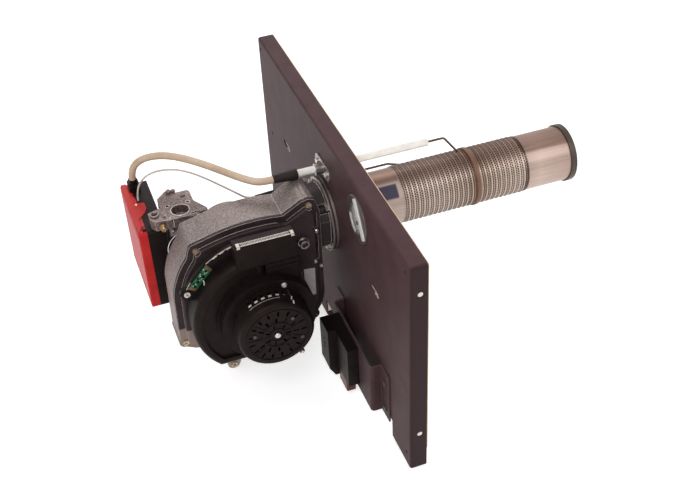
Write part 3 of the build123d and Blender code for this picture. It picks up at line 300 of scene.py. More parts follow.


# Areas of the part for the patches of the materials: the outlet neck, the corner and foot of the cover and
# the heat mark have a tone of their own, while the darker flange face, tops of the tube and top of the
# sleeve are painted shade
# painted shade: the front face of the end flange is painted darker
flange_face_shade = {"y": (None, plate.front + 1.6)}
outlet_neck = {"x": (-26, None)}
cover_corner = {"x": (None, -198), "z": (None, -92)}
cover_foot = {"z": (None, -151)}
heat_mark = {"x": (58, 90), "y": (-33, -19), "z": (19, 34), "soft": 1}
# painted shade: the top of the tube is painted darker at its start and at its plain end
tube_start_shade = {"z": (34, None), "x": (None, sleeve.left), "y": (-17, None)}
tube_end_shade = {"soft": 1, "x": (276, None), "z": (31, None)}
# painted shade: the top of the flame sleeve and of its beads is painted darker
sleeve_top_shade = {"z": (30.5, None), "soft": 5}

# plate_paint: its darker patch on the front face of the end flange is painted shade
plate_paint = surface("plate_paint", dark=(71, 51, 54), light=(81, 59, 62), scale=30, rough=(0.5, 0.64),
                      grain=1800, bump=0.12, specular=0.15, edge=0.8, tint=(255, 205, 208),
                      patches=[((50, 38, 40), flange_face_shade)])
bracket_paint = surface("bracket_paint", dark=(66, 48, 51), light=(76, 56, 59), scale=30, rough=(0.5, 0.64),
                        grain=1800, bump=0.12, specular=0.15, edge=0.8, wear_and_highlight=(138, 118, 119),
                        tint=(255, 205, 208))
fibre_board = surface("fibre_board", dark=(240, 227, 206), light=(251, 245, 236), scale=45,
                      rough=(0.85, 0.95), grain=700, bump=0.5, specular=0.1, sheen=0.2)
cream_edge = surface("cream_edge", dark=(226, 200, 160), light=(244, 224, 190), scale=90,
                     rough=(0.85, 0.95), grain=700, bump=0.3, specular=0.1)
cast_metal = surface("cast_metal", dark=(100, 88, 86), light=(150, 136, 131), scale=420, rough=(0.42, 0.6),
                     metal=0.45, grain=1500, bump=0.35, edge=1.5, wear_and_highlight=(240, 230, 223),
                     patches=[((54, 45, 46), outlet_neck)])
valve_cast = surface("valve_cast", dark=(78, 64, 62), light=(138, 120, 115), scale=300, rough=(0.4, 0.55),
                     metal=0.45, grain=1500, bump=0.35, edge=1.0, wear_and_highlight=(232, 220, 212))
cover_paint = surface("cover_paint", dark=(48, 39, 41), light=(60, 50, 52), scale=60, rough=(0.45, 0.62),
                      grain=1600, bump=0.15, specular=0.2, edge=1.3, wear_and_highlight=(216, 204, 198),
                      tint=(255, 216, 212),
                      patches=[((150, 134, 126), cover_corner), ((186, 170, 160), cover_foot)])
black_plastic = surface("black_plastic", dark=(18, 13, 12), light=(27, 21, 20), scale=80, rough=(0.42, 0.6),
                        grain=2200, bump=0.08, specular=0.13, edge=0.6, tint=(255, 226, 222))
soft_black = surface("soft_black", dark=(24, 21, 21), light=(38, 33, 32), scale=140, rough=(0.5, 0.7),
                     grain=1500, specular=0.25, tint=(255, 228, 224))
red_plastic = surface("red_plastic", dark=(184, 26, 28), light=(206, 44, 42), scale=18, rough=(0.38, 0.52),
                      grain=1500, bump=0.06, specular=0.2, edge=0.8)
chrome = surface("chrome", dark=(205, 205, 205), light=(235, 235, 235), scale=200, rough=(0.08, 0.2),
                 metal=1.0, bump=0.03)
zinc = surface("zinc", dark=(150, 146, 140), light=(205, 200, 190), scale=300, rough=(0.2, 0.38), metal=1.0,
               grain=1400, bump=0.08)
gold_zinc = surface("gold_zinc", dark=(150, 126, 100), light=(214, 194, 166), scale=350, rough=(0.28, 0.45),
                    metal=0.7, grain=1400, bump=0.08)
brass = surface("brass", dark=(140, 112, 74), light=(196, 168, 122), scale=300, rough=(0.28, 0.42),
                metal=0.7, grain=1200, bump=0.06)
machined = surface("machined", dark=(134, 124, 120), light=(184, 173, 167), scale=500, rough=(0.28, 0.42),
                   metal=0.8, grain=1200, stretch=(1, 8, 8))
ceramic = surface("ceramic", dark=(243, 236, 228), light=(255, 252, 246), scale=90, rough=(0.25, 0.4),
                  grain=700, bump=0.04, specular=0.4)
silicone = surface("silicone", dark=(199, 171, 145), light=(218, 193, 168), scale=40, rough=(0.45, 0.6),
                   bump=0.05, specular=0.3)
thin_wire = surface("thin_wire", dark=(196, 186, 178), light=(226, 217, 208), scale=60, rough=(0.5, 0.65),
                    bump=0.05, specular=0.3)
scaled_rod = surface("scaled_rod", dark=(62, 44, 34), light=(104, 80, 62), scale=220, rough=(0.4, 0.62),
                     metal=0.6, grain=1500, bump=0.25)
board_green = surface("board_green", dark=(14, 78, 44), light=(26, 104, 60), scale=160, rough=(0.25, 0.4))
brown_plastic = surface("brown_plastic", dark=(72, 26, 14), light=(112, 48, 26), scale=160,
                        rough=(0.3, 0.5), bump=0.08, specular=0.3)
sheet_metal = surface("sheet_metal", dark=(170, 170, 172), light=(210, 210, 212), rough=(0.25, 0.4),
                      metal=1.0, bump=0.06)
iron = surface("iron", dark=(70, 70, 74), light=(110, 110, 114), scale=300, rough=(0.4, 0.55), metal=1.0,
               grain=1500, stretch=(1, 20, 1))
gasket_grey = surface("gasket_grey", dark=(40, 38, 38), light=(60, 57, 56), scale=200, rough=(0.7, 0.85),
                      grain=1500, bump=0.2, specular=0.2)
label_silver = surface("label_silver", dark=(178, 171, 172), light=(198, 191, 191), scale=60,
                       rough=(0.45, 0.6), bump=0.03, specular=0.3)
bright_tin = surface("bright_tin", dark=(206, 202, 198), light=(250, 248, 245), scale=260,
                     rough=(0.15, 0.3), metal=0.6, bump=0.05)
pale_trim = surface("pale_trim", dark=(196, 184, 172), light=(236, 227, 217), scale=200, rough=(0.35, 0.5),
                    bump=0.05)
copper = surface("copper", dark=(120, 48, 30), light=(158, 78, 50), scale=300, rough=(0.3, 0.45), metal=0.5,
                 bump=0.05)
ring_dark = surface("ring_dark", dark=(78, 66, 68), light=(98, 86, 88), rough=(0.25, 0.4), metal=0.3,
                    bump=0.05, edge=0.7, wear_and_highlight=(150, 140, 140))
strap_tin = surface("strap_tin", dark=(236, 231, 227), light=(252, 249, 246), scale=160, rough=(0.3, 0.45),
                    metal=0.1, bump=0.05)
dull_grey = surface("dull_grey", dark=(58, 50, 50), light=(84, 76, 75), scale=300, rough=(0.4, 0.6),
                    metal=0.3, bump=0.08)
dull_steel = surface("dull_steel", dark=(112, 105, 102), light=(162, 153, 149), scale=200,
                     rough=(0.25, 0.4), metal=0.9, bump=0.06, edge=0.6, wear_and_highlight=(226, 220, 214))
recess_black = surface("recess_black", dark=(14, 12, 12), light=(24, 21, 20), scale=300, rough=(0.6, 0.8),
                       bump=0.05, specular=0.1)
# painted shade: the dark inside of the flame sleeve's slot openings
slot_painted_shade = surface("slot_painted_shade", dark=(26, 20, 18), light=(48, 38, 34), scale=500, rough=(0.6, 0.8),
                    metal=0.2, grain=1500, specular=0.2)
# bead_bright: darker on the top of the sleeve, which is painted shade
bead_bright = surface("bead_bright", dark=(206, 188, 174), light=(244, 232, 220), scale=300,
                      rough=(0.25, 0.4), metal=0.6, bump=0.05, patches=[((134, 116, 108), sleeve_top_shade)])
lens_glass = clear_glass("lens_glass")
# plain_steel: the blue heat mark is a heat tint, and the darker patches on the top of the tube at its start
# and plain end are painted shade
plain_steel = tube_steel("plain_steel",
                         tints=[(0, (150, 132, 124)), (60, (168, 150, 142)), (90, (176, 158, 149)),
                                (270, (176, 156, 147)), (300, (196, 174, 163)), (345, (180, 156, 146))],
                         streak=0.45,
                         patches=[((104, 108, 140), heat_mark), ((196, 176, 168), tube_start_shade),
                                  ((206, 192, 186), tube_end_shade)])
# flame_steel: darker on the top of the sleeve, which is painted shade
flame_steel = tube_steel("flame_steel",
                         tints=[(96, (186, 166, 155)), (150, (204, 184, 172)), (190, (176, 152, 138)),
                                (203, (150, 118, 98)), (220, (190, 166, 152)), (272, (214, 192, 179)),
                                # painted shade: the dark tone at the end of the sleeve stands for the dark
                                # slots there
                                (277, (120, 98, 88))],
                         streak=0.3, patches=[((200, 184, 178), sleeve_top_shade)])
seam_brown = tube_steel("seam_brown",
                        tints=[(0, (120, 92, 76)), (190, (122, 92, 76)), (350, (120, 98, 84))],
                        streak=0.4, rough=(0.4, 0.55))
cap_grey = tube_steel("cap_grey", tints=[(0, (88, 76, 70)), (350, (84, 74, 68))], streak=0.3,
                      rough=(0.35, 0.5))

for slot_material, names in {
    plate_paint: "mounting_plate",
    bracket_paint: "bracket",
    fibre_board: "insulation_board",
    cast_metal: "casing_rear venturi",
    valve_cast: "gas_valve valve_base",
    cover_paint: "casing_cover",
    black_plastic: "motor_base motor_cap electronics_box cooling_wheel controller_base hv_plug "
                   "connector_box valve_coil connector_strip",
    soft_black: "ignition_boot ionisation_sleeve",
    red_plastic: "controller_cover",
    chrome: "coil_ring",
    strap_tin: "sight_strap",
    ring_dark: "sight_ring",
    dull_grey: "bracket_screws",
    zinc: "outlet_bolts ignition_screws throttle_screw wing_screw test_pin ionisation_gland",
    dull_steel: "pressure_nipple ignition_flange",
    gold_zinc: "cover_screws",
    brass: "test_nipple",
    ceramic: "ignition_ceramic ionisation_ceramic",
    scaled_rod: "ignition_rod ionisation_rod",
    board_green: "control_board",
    brown_plastic: "mains_plug",
    sheet_metal: "impeller motor_shaft bearings",
    iron: "motor_stator motor_rotor",
    gasket_grey: "casing_gasket tube_gasket",
    lens_glass: "sight_lens",
    plain_steel: "burner_tube",
    flame_steel: "flame_sleeve",
    seam_brown: "seam_band",
    cap_grey: "end_cap",
}.items():
    for name in names.split():
        nodes[name].data.materials.clear()
        nodes[name].data.materials.append(slot_material)


# Cords, along the routes of the CAD leads, with their real lengths and diameters in metres

def cord(name, points, diameter, material):
    curve = bpy.data.curves.new(name, "CURVE")
    curve.dimensions = "3D"
    curve.resolution_u = 12
    curve.bevel_depth = diameter / 2
    curve.bevel_resolution = 6
    curve.use_fill_caps = True
    spline = curve.splines.new("NURBS")
    spline.points.add(len(points) - 1)
    for point, (x, y, z) in zip(spline.points, points):
        point.co = (x * MM, y * MM, z * MM, 1)
    spline.order_u = 3
    spline.use_endpoint_u = True
    curve.materials.append(material)
    made = bpy.data.objects.new(name, curve)
    scene.collection.objects.link(made)
    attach(made, "root")
    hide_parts(name)
    made.name = name + "_cord"


hv_route = [(-227, 137, 28.3), (-226, 137, 42), (-217, 132, 57), (-200, 121, 68), (-177, 103, 74),
            (-153, 78, 75), (-131, 52, 74), (-112, 28, 72.5), (-97, 12, 71), (-84, 3, 70), (-68, 3, 70)]
thin_route = [(-228, 107, 13.15), (-227, 106.5, 27), (-222, 104, 42), (-212, 99, 55), (-197, 93, 62),
              (-178, 86, 63.5), (-159, 79, 58), (-140, 72, 47), (-121, 66, 33), (-104, 62, 19.5),
              (-91, 60, 8), (-80, 60, 8)]
cord("hv_lead", hv_route, diameter=0.0096, material=silicone)
cord("thin_lead", thin_route, diameter=0.0026, material=thin_wire)


# Mesh builders, in local axes u, v and w placed at a point

FRONT = (Vector((1, 0, 0)), Vector((0, 0, 1)), Vector((0, -1, 0)))
BACK = (Vector((-1, 0, 0)), Vector((0, 0, 1)), Vector((0, 1, 0)))
RIGHT = (Vector((0, 1, 0)), Vector((0, 0, 1)), Vector((1, 0, 0)))
LEFT = (Vector((0, -1, 0)), Vector((0, 0, 1)), Vector((-1, 0, 0)))
TOP = (Vector((1, 0, 0)), Vector((0, 1, 0)), Vector((0, 0, 1)))
ON_AXIS = 1e-6
ROUNDED_ANGLE = 40


def piece(name, parts, material, smooth=30, bevel=0.0):
    """One object on the root body from several lists of vertices and faces."""
    mesh = bpy.data.meshes.new(name)
    build = bmesh.new()
    for verts, faces in parts:
        made = [build.verts.new(Vector(v) * MM) for v in verts]
        for face in faces:
            build.faces.new([made[i] for i in face])
    bmesh.ops.recalc_face_normals(build, faces=build.faces)
    build.to_mesh(mesh)
    build.free()
    mesh.materials.append(material)
    made = bpy.data.objects.new(name, mesh)
    scene.collection.objects.link(made)
    for polygon in mesh.polygons:
        polygon.use_smooth = True
    if bevel:
        rounding = made.modifiers.new("bevel", "BEVEL")
        rounding.width = bevel * MM
        rounding.segments = 2
        rounding.angle_limit = math.radians(ROUNDED_ANGLE)
    mesh.set_sharp_from_angle(angle=math.radians(smooth))
    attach(made, "root")


def prism(axes, origin, outline, depth):
    """A solid from an outline of u and v, drawn out along w."""
    u, v, w = axes
    start = Vector(origin)
    lower = [start + a * u + b * v for a, b in outline]
    upper = [p + depth * w for p in lower]
    n = len(outline)
    faces = [tuple(range(n)), tuple(range(2 * n - 1, n - 1, -1))]
    faces += [(i, (i + 1) % n, n + (i + 1) % n, n + i) for i in range(n)]
    return lower + upper, faces


def lathe(axes, origin, profile, steps=32):
    """A closed ring or knob from a profile of radius and height along w."""
    u, v, w = axes
    start = Vector(origin)
    verts, faces, rings = [], [], []
    for r, h in profile:
        if r < ON_AXIS:
            rings.append([len(verts)] * steps)
            verts.append(start + h * w)
        else:
            rings.append(list(range(len(verts), len(verts) + steps)))
            for i in range(steps):
                a = 2 * math.pi * i / steps
                verts.append(start + r * (math.cos(a) * u + math.sin(a) * v) + h * w)
    for one, two in zip(rings, rings[1:]):
        for i in range(steps):
            j = (i + 1) % steps
            face = []
            for k in (one[i], one[j], two[j], two[i]):
                if k not in face:
                    face.append(k)
            if len(face) > 2:
                faces.append(tuple(face))
    return verts, faces


def span(left, bottom, right, top):
    """A rectangle's corners, from its four sides."""
    return [(left, bottom), (right, bottom), (right, top), (left, top)]


def rectangle(cx, cy, width, height):
    return span(cx - width / 2, cy - height / 2, cx + width / 2, cy + height / 2)


def arc(radius, start, end, steps=24):
    """Points of an arc about the local centre, from one angle in degrees to another."""
    turns = [math.radians(start + (end - start) * i / steps) for i in range(steps + 1)]
    return [(radius * math.cos(turn), radius * math.sin(turn)) for turn in turns]


def sector(inner, outer, start, end, steps=24):
    return arc(outer, start, end, steps) + arc(inner, end, start, steps)


def rod(start, end, radius, steps=10):
    """A round bar from one point to another."""
    along = Vector(end) - Vector(start)
    length = along.length
    along.normalize()
    side = along.orthogonal().normalized()
    profile = [(0, 0), (radius, 0), (radius, length), (0, length)]
    return lathe((side, along.cross(side), along), start, profile, steps)


def ring(axes, origin, inner, outer, height, steps=36):
    """A flat ring with its outer edge eased."""
    ease = min(0.3, height / 2)
    return lathe(axes, origin, [(inner, 0), (inner, height), (outer - ease, height), (outer, height - ease),
                                (outer, 0), (inner, 0)], steps)


def hoop(axes, origin, inner, outer, height, steps=96):
    """A plain ring with square edges."""
    profile = [(inner, 0), (inner, height), (outer, height), (outer, 0), (inner, 0)]
    return lathe(axes, origin, profile, steps)


def knob(axes, origin, radius, height, ease, drop, steps=24):
    """A round boss whose rim is cut back by ease and down by drop."""
    return lathe(axes, origin, [(0, height), (radius - ease, height), (radius, height - drop), (radius, 0),
                                (0, 0)], steps)


def screw_head(axes, origin, radius, height, steps=24):
    """A round head with a sunk drive."""
    drive_floor, shoulder = height * 0.35, height * 0.55
    return lathe(axes, origin, [(0, drive_floor), (radius * 0.42, drive_floor), (radius * 0.5, height),
                                (radius * 0.8, height), (radius, shoulder), (radius, 0), (0, 0)], steps)


def about_fan(radius, degrees, y):
    """A point about the fan axis."""
    turn = math.radians(degrees)
    return FAN_X + radius * math.cos(turn), y, FAN_Z + radius * math.sin(turn)


# Ribbed strip on the top edge of the electronics box
strip_middle = (strip.left + strip.right) / 2
strip_ends = (strip.left + 2.2, strip.right - 2.2)
strip_level = (0, 0, strip.top)
rail_length, rib_count, rib_start, rib_step = 67, 33, strip.left + 7, 1.85
rails = [prism(TOP, strip_level, rectangle(strip_middle, strip.front + inset, rail_length, width),
               depth=0.5) for inset, width in ((0.6, 1.1), (6.4, 0.7))]
ribs = [prism(TOP, strip_level, rectangle(x, strip.front + 3.6, width=0.75, height=4.8), depth=0.3)
        for x in (rib_start + rib_step * i for i in range(rib_count))]
piece("strip_rails", rails + ribs, pale_trim, bevel=0.1)
end_tops = [prism(TOP, (x, strip.front + 3.4, strip.top), rectangle(0, 0, width=4.2, height=6.8), depth=1.2)
            for x in strip_ends]
end_faces = [prism(FRONT, (x, strip.front, strip.top - 1.6), rectangle(0, 0, width=4.2, height=3.2),
                   depth=0.6) for x in strip_ends]
piece("strip_ends", end_tops + end_faces, pale_trim, bevel=0.25)

# Blank sticker on the cover
sticker_corners = [(-52.6, -41), (-37.6, -43.2), (-38.4, -88.2), (-53.2, -86)]
piece("blank_sticker", [prism(FRONT, (0, cover.front, 0), sticker_corners, depth=0.16)], label_silver)

# Wing of the motor: its light edge, the parts and pads of its board and a wire clip
wing_place = (FAN_X, circuit.back, FAN_Z)
wing_radius, tab_turn = 107.9, 3.4
edge_strips = [prism(FRONT, wing_place, sector(inner, wing_radius, start, end), depth=0.35)
               for inner, start, end in ((107.2, 104, 127), (107.3, 144, 150))]
tab_outlines = [sector(wing_radius - 2, wing_radius, start, start + tab_turn, steps=4)
                for start in (107, 112.5, 118)]
edge_tabs = [prism(FRONT, wing_place, outline, depth=0.5) for outline in tab_outlines]
piece("wing_edge", edge_strips + edge_tabs, pale_trim)

board_parts = []
for angle, radius, width, height, deep in ((131, 101.5, 3, 2, 1.4), (133.5, 104, 2.2, 1.4, 0.9),
                                           (135.5, 99.5, 4, 2.4, 2.0), (138.5, 103.4, 2, 2.4, 1.1),
                                           (141, 100.2, 3.4, 2.6, 1.7), (143.5, 103.6, 2.4, 1.6, 0.9),
                                           (145.5, 99.8, 2.6, 2, 1.3)):
    part_place = about_fan(radius, angle, circuit.front)
    board_parts.append(prism(FRONT, part_place, rectangle(0, 0, width, height), deep))
piece("board_parts", board_parts, recess_black, bevel=0.15)

pad_count = 16
pads = []
for i in range(pad_count):
    pad_place = about_fan(random.uniform(97.5, 105.5), random.uniform(130, 146.5), circuit.front)
    pads.append(lathe(FRONT, pad_place, [(0, 0.35), (0.45, 0.2), (0.6, 0), (0, 0)], steps=8))
piece("board_pads", pads, bright_tin)
board_face = (FAN_X, circuit.front, FAN_Z)
board_inner, board_outer, end_turn = 96.9, 105.7, 1.6
end_outlines = [sector(board_inner, board_outer, start, start + end_turn, steps=4)
                for start in (127.6, 146.6)]
piece("board_ends", [prism(FRONT, board_face, outline, depth=0.3) for outline in end_outlines],
      copper)
clip_foot, clip_bend = circuit.back - 0.4, circuit.back - 5
clip_points = [about_fan(94.6, 138.4, clip_foot), about_fan(94.4, 138.6, clip_bend),
               about_fan(91.6, 141, clip_bend - 0.4), about_fan(91.4, 141.4, clip_foot)]
piece("board_clip", [rod(start, end, radius=0.75) for start, end in zip(clip_points, clip_points[1:])],
      pale_trim, smooth=60)

# Motor cap: bright can behind its side vents, rings and spokes on its front
cap_face = (FAN_X, cap.front, FAN_Z)
rim_ring, hub_ring, shaft_ring = (39.4, 40.8), (17.6, 20.2), (8.6, 10.4)
can_wall = sector(inner=45.2, outer=45.9, start=60, end=132)
seam_line = sector(inner=48.8, outer=49.3, start=77, end=126)
piece("cap_can", [prism(FRONT, (FAN_X, cap.front + 23.5, FAN_Z), can_wall, depth=13.5)], bright_tin)
piece("cap_seam", [prism(FRONT, (FAN_X, cap.front + 14.3, FAN_Z), seam_line, depth=0.8)], bright_tin)
piece("cap_rings", [ring(FRONT, cap_face, inner, outer, height=0.9, steps=64)
                    for inner, outer in (rim_ring, hub_ring, shaft_ring)], black_plastic)
spoke_count, spoke_start, spoke_half = 9, 20, 0.7
spoke_inner, spoke_outer = shaft_ring[1], rim_ring[0]
cap_spokes = []
for i in range(spoke_count):
    turn = math.radians(spoke_start + 360 / spoke_count * i)
    cosine, sine = math.cos(turn), math.sin(turn)
    outline = [(r * cosine - side * sine, r * sine + side * cosine)
               for r, side in span(spoke_inner, -spoke_half, spoke_outer, spoke_half)]
    cap_spokes.append(prism(FRONT, cap_face, outline, depth=0.6))
piece("cap_spokes", cap_spokes, black_plastic)

# Nuts, screws, lug and wire of the motor cap
nut_places = [about_fan(radius, angle, cap.front) for radius, angle in ((29.6, 46), (33.9, -23), (30, 166))]
piece("cap_nuts", [knob(FRONT, nut_place, radius=2.7, height=1.2, ease=0.3, drop=0.3, steps=6)
                   for nut_place in nut_places], dull_grey)
skirt_screw_place = (-94.2, cap.front + 31, -11.4)
piece("skirt_screw", [screw_head(FRONT, skirt_screw_place, radius=3.5, height=2.6)],
      bright_tin, smooth=40)
wire_ends = [about_fan(49.7, 60, y) for y in (cap.front + 29, cap.front + 4)]
piece("skirt_wire", [rod(*wire_ends, radius=0.55)], dull_grey)
tag_radius = 49.9
tag_ends = (((58.6, -119.5), (60.6, -124.5)), ((59.2, -128), (60.4, -133)))
piece("wire_tags", [rod(about_fan(tag_radius, *start), about_fan(tag_radius, *end), radius=0.95)
                    for start, end in tag_ends], pale_trim, smooth=60)
lug_back, lug_length = cap.front + 9, 6.5
lug_foot, lug_tip = (about_fan(51.4, -54, y) for y in (lug_back, lug_back - lug_length))
piece("cap_lug", [knob(FRONT, lug_foot, radius=3.5, height=lug_length, ease=0.4, drop=0.5)],
      black_plastic)
piece("cap_lug_screw", [screw_head(FRONT, lug_tip, radius=2.3, height=1.8)],
      bright_tin, smooth=40)

# Blocks in the side vents of the motor cap
vent_blocks = []
for angle in (79, 90, 101, 112, 123):
    turn = math.radians(angle)
    outward = Vector((math.cos(turn), 0, math.sin(turn)))
    along = Vector((-math.sin(turn), 0, math.cos(turn)))
    vent_axes = (along, Vector((0, -1, 0)), outward)
    vent_place = about_fan(46.4, angle, cap.front + 19)
    vent_blocks.append(prism(vent_axes, vent_place, rectangle(0, 0, width=4.4, height=6.6), depth=1.6))
piece("vent_blocks", vent_blocks, pale_trim)

# Small screws of the cover
piece("cover_small_screws", [screw_head(FRONT, (-36, cover.front, -32), radius=2.2, height=2.4),
                             screw_head(FRONT, (-26.8, -45.8, -47), radius=2.4, height=2.4)],
      bright_tin, smooth=40)

# Gas valve: rims of its bore and of the four holes about it, ribs, bosses and small lugs on its flange
bore_place = (BORE_X, BORE_Y, valve.top)
bore_radius, hole_radius, hole_offset = 11.5, 2.3, 13.5
hole_places = [(BORE_X + i * hole_offset, BORE_Y + j * hole_offset, valve.top)
               for i in (-1, 1) for j in (-1, 1)]
piece("valve_rims", [ring(TOP, bore_place, bore_radius, bore_radius + 1.1, height=0.3)]
      + [ring(TOP, hole_place, hole_radius, hole_radius + 0.8, height=0.2, steps=20)
         for hole_place in hole_places], machined)
boss_place = (-218, 43, valve.top)
front_rib, side_rib = span(-21, -18, 18, -15.5), span(-21, -15.5, -18.5, 16)
piece("valve_boss", [ring(TOP, boss_place, inner=4, outer=6.2, height=2.2),
                     prism(TOP, bore_place, front_rib, depth=1.6),
                     prism(TOP, bore_place, side_rib, depth=1.6)],
      valve_cast, bevel=0.3)
valve_lugs = [knob(TOP, (x, y, valve.top - 2), radius, height, ease=0.6, drop=0.8, steps=20)
              for x, y, radius, height in ((-190, 84, 3.4, 6), (-183.6, 84.6, 2.8, 5), (-174, 71, 3, 4),
                                           (-160, 28, 3.2, 5), (-154.6, 29.5, 2.6, 3.4))]
valve_pads = [prism(TOP, (x, y, valve.top), rectangle(0, 0, width, length), height)
              for x, y, width, length, height in ((-206, 40, 5, 11, 1.8), (-168, 31, 9, 3, 1.4))]
piece("valve_lugs", valve_lugs + valve_pads, valve_cast, bevel=0.3)
piece("coil_screws", [screw_head(FRONT, (x, coil.back, coil.top + 6), radius=2.2, height=1.8)
                      for x in (coil.left + 8, coil.right - 8)], bright_tin)

# Controller: the red skirt that laps its top, ridges on its side, a black clip and two screws
hood_outline = [(-243.2, 149.5), (-236, 149.5), (-236, 124), (-231, 114), (-230.4, 101), (-221.6, 98),
                (-221.6, 85), (-225.6, 75.5), (-235.7, 65), (-236.9, 44), (-243.2, 34)]
hood_thickness = 0.9
piece("controller_hood", [prism(TOP, (0, 0, controller.top), hood_outline, hood_thickness)], red_plastic,
      bevel=0.25)
clip_x, clip_y, clip_height = -234.2, 42, 2
clip_top = (clip_x, clip_y, controller.top + clip_height)
clip_outline = rectangle(0, 0, width=5, height=9)
piece("controller_clip", [prism(TOP, (clip_x, clip_y, controller.top), clip_outline, clip_height)],
      black_plastic, bevel=0.3)
piece("controller_clip_screw", [ring(TOP, clip_top, inner=0.8, outer=2.2, height=0.5, steps=20)],
      red_plastic)
hood_screw_place = (-232.6, 97, controller.top + hood_thickness)
piece("controller_screw", [screw_head(TOP, hood_screw_place, radius=1.6, height=0.9)], bright_tin)
controller_side = (controller.left, (controller.front + controller.back) / 2, 0)
ridge_length = controller.back - controller.front - 8
ridge_heights = (controller.top - 7, controller.bottom + 7)
ridge_outlines = [rectangle(0, z, ridge_length, height=0.8) for z in ridge_heights]
piece("controller_ridge", [prism(LEFT, controller_side, outline, depth=0.35) for outline in ridge_outlines],
      red_plastic, bevel=0.15)

# Sight glass: screw of the strap, and a painted highlight: a bright crescent on the ring
piece("strap_screw", [screw_head(LEFT, (strap.left - 0.1, -132, 78), radius=2.8, height=1.6)],
      dull_grey, smooth=40)
# painted highlight: a bright crescent on the ring
glint_outline = sector(inner=16, outer=22.4, start=186, end=262)
piece("sight_glint", [prism(LEFT, (sight.left, SIGHT_Y, SIGHT_Z), glint_outline, depth=0.2)], strap_tin)

# Machined face and two bright lines round the rim of the outlet flange
outlet_radius, outlet_face, near_line, far_line = 50, (-8.5, 0, 0), (-2.6, 0, 0), (-6.8, 0, 0)
line_inner, line_outer = outlet_radius + 0.02, outlet_radius + 0.25
piece("outlet_rim", [ring(LEFT, outlet_face, inner=46.6, outer=outlet_radius, height=0.15, steps=96),
                     hoop(LEFT, near_line, line_inner, line_outer, height=1.3),
                     hoop(LEFT, far_line, line_inner, line_outer, height=1.6)], machined)

# Board seen through the four side holes of the plate
side_hole_x, side_hole_middle, side_hole_spacing = 13, -35, 227
side_hole_heights = [side_hole_middle + side * side_hole_spacing / 2 for side in (1, -1)]
piece("side_hole_backs", [knob(axes, (side_hole_x, y, z), radius=3.5, height=0.3, ease=0.2, drop=0.2)
                          for axes, y in ((FRONT, plate.front + 1.2), (BACK, plate.back - 1.2))
                          for z in side_hole_heights], fibre_board)

# Painted highlight: bright strips on the lower edges of the two slots of the plate, where light catches
# them
slot_spacing = 340
lit_edge = span(-12, -3.9, 0, -3.3)
piece("slot_edge_glints", [prism(RIGHT, (plate.left + 0.1, y, 0), lit_edge, depth=4.5)
                     for y in (-slot_spacing / 2, slot_spacing / 2)], bright_tin)

# Three small buttons on the connector box
button_places = [(plug_box.left, plug_box.back - 13, z) for z in (-140, -148, -156)]
piece("box_buttons", [knob(LEFT, button_place, radius=2, height=0.9, ease=0.4, drop=0.4, steps=20)
                      for button_place in button_places], dull_grey)

# Slots of the flame sleeve, in two rows between each pair of its beads, with none at the seam: thin dark
# plates on the sleeve's surface, painted shade for the dark inside of the openings
sleeve_radius, band_step, band_count = 38.5, 7, 26
slots_round, slot_length, slot_width, slot_depth = 72, 2.1, 2.4, 0.14
first_row, row_step, rows = 0.85, 2.85, 2
seam_clear = 3.9
flame_slots = []
for band in range(band_count):
    for row in range(rows):
        x = sleeve.left + band * band_step + first_row + row * row_step
        if abs(x + slot_length / 2 - SEAM_X) < seam_clear:
            continue
        outline = span(x, -slot_width / 2, x + slot_length, slot_width / 2)
        for i in range(slots_round):
            turn = 2 * math.pi * (i + 0.5 * row) / slots_round
            outward = Vector((0, math.cos(turn), math.sin(turn)))
            round_tube = Vector((0, -math.sin(turn), math.cos(turn)))
            slot_axes = (Vector((1, 0, 0)), round_tube, outward)
            flame_slots.append(prism(slot_axes, outward * sleeve_radius, outline, slot_depth))
piece("flame_slots", flame_slots, slot_painted_shade)

# Bright crests of the beads
bead_foot, bead_shoulder, bead_crest, bead_half = 39.0, 39.2, 39.28, 0.32
bead_places = [sleeve.left + band_step * band for band in range(1, band_count)]
bead_profile = [(bead_foot, 0), (bead_shoulder, 0.08), (bead_crest, bead_half), (bead_shoulder, 0.56),
                (bead_foot, 2 * bead_half), (bead_foot, 0)]
piece("flame_beads", [lathe(RIGHT, (x - bead_half, 0, 0), bead_profile, steps=96)
                      for x in bead_places if abs(x - SEAM_X) > seam_clear], bead_bright)

# Cream edge of the insulation board, which stands a little proud of the tray
lip_width = 4.4
lip_side, lip_top, lip_foot = plate.back - 1.6, plate.top - 1.6, -179
lip_inside, lip_under = lip_side - lip_width, lip_top - lip_width
piece("board_lip", [prism(RIGHT, (plate.right + 0.1, 0, 0), outline, depth=1.6)
                    for outline in (span(-lip_side, lip_under, lip_side, lip_top),
                                    span(-lip_side, lip_foot, -lip_inside, lip_under),
                                    span(lip_inside, lip_foot, lip_side, lip_under))],
      cream_edge)


# Studio: pale floor, white surroundings and soft lamps, in metres

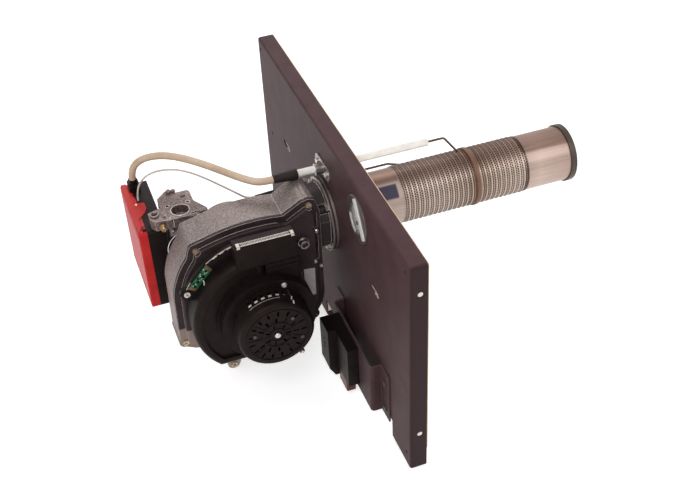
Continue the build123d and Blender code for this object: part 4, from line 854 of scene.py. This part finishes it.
def seen(tree):
    """1 for rays from the camera and for rays seen in metal and glass."""
    paths = tree.nodes.new("ShaderNodeLightPath").outputs
    direct = calculate(tree, "MAXIMUM", paths["Is Camera Ray"], paths["Is Glossy Ray"])
    return calculate(tree, "MAXIMUM", direct, paths["Is Transmission Ray"])


def pale_floor():
    """A matt floor that glows a little where it is seen, so that it looks white."""
    made, tree, shader = new_material("floor_pale")
    tones = [(NOISE_LOW, (0.93, 0.93, 0.93)), (NOISE_HIGH, (0.96, 0.96, 0.96))]
    link(tree, ramp(tree, noise(tree, object_coords(tree), 3), tones), shader.inputs["Base Color"])
    shader.inputs["Roughness"].default_value = 0.9
    shader.inputs["Specular IOR Level"].default_value = 0.0
    shader.inputs["Emission Color"].default_value = (1, 1, 1, 1)
    link(tree, calculate(tree, "MULTIPLY", seen(tree), 0.55), shader.inputs["Emission Strength"])
    return made


FLOOR_Z, FLOOR_REACH = -0.2125, 9
floor_corners = [(x, y, FLOOR_Z) for x, y in span(-FLOOR_REACH, -FLOOR_REACH, FLOOR_REACH, FLOOR_REACH)]
floor_mesh = bpy.data.meshes.new("floor")
floor_mesh.from_pydata(floor_corners, [], [(0, 1, 2, 3)])
floor_mesh.materials.append(pale_floor())
floor = bpy.data.objects.new("floor", floor_mesh)
scene.collection.objects.link(floor)

LIGHT_ON_PART, LIGHT_SEEN = 0.42, 1.0
world = bpy.data.worlds.new("studio")
scene.world = world
world.use_nodes = True
tree = world.node_tree
background = tree.nodes["Background"]
link(tree, remap(tree, seen(tree), 0.0, 1.0, LIGHT_ON_PART, LIGHT_SEEN), background.inputs["Strength"])
background.inputs["Color"].default_value = (1, 1, 1, 1)


def lamp(name, place, size, energy):
    """A round lamp that faces the middle of the part, with its energy in watts."""
    data = bpy.data.lights.new(name, "AREA")
    data.shape = "DISK"
    data.size = size
    data.energy = energy
    made = bpy.data.objects.new(name, data)
    made.location = place
    made.rotation_mode = "QUATERNION"
    made.rotation_quaternion = (-Vector(place)).to_track_quat("-Z", "Y")
    scene.collection.objects.link(made)


lamp("key", (-0.9, -1.6, 1.9), size=1.2, energy=26)
lamp("fill", (1.6, -1.2, 1.2), size=1.4, energy=8)
lamp("rim", (0.2, 1.7, 1.6), size=1.2, energy=14)
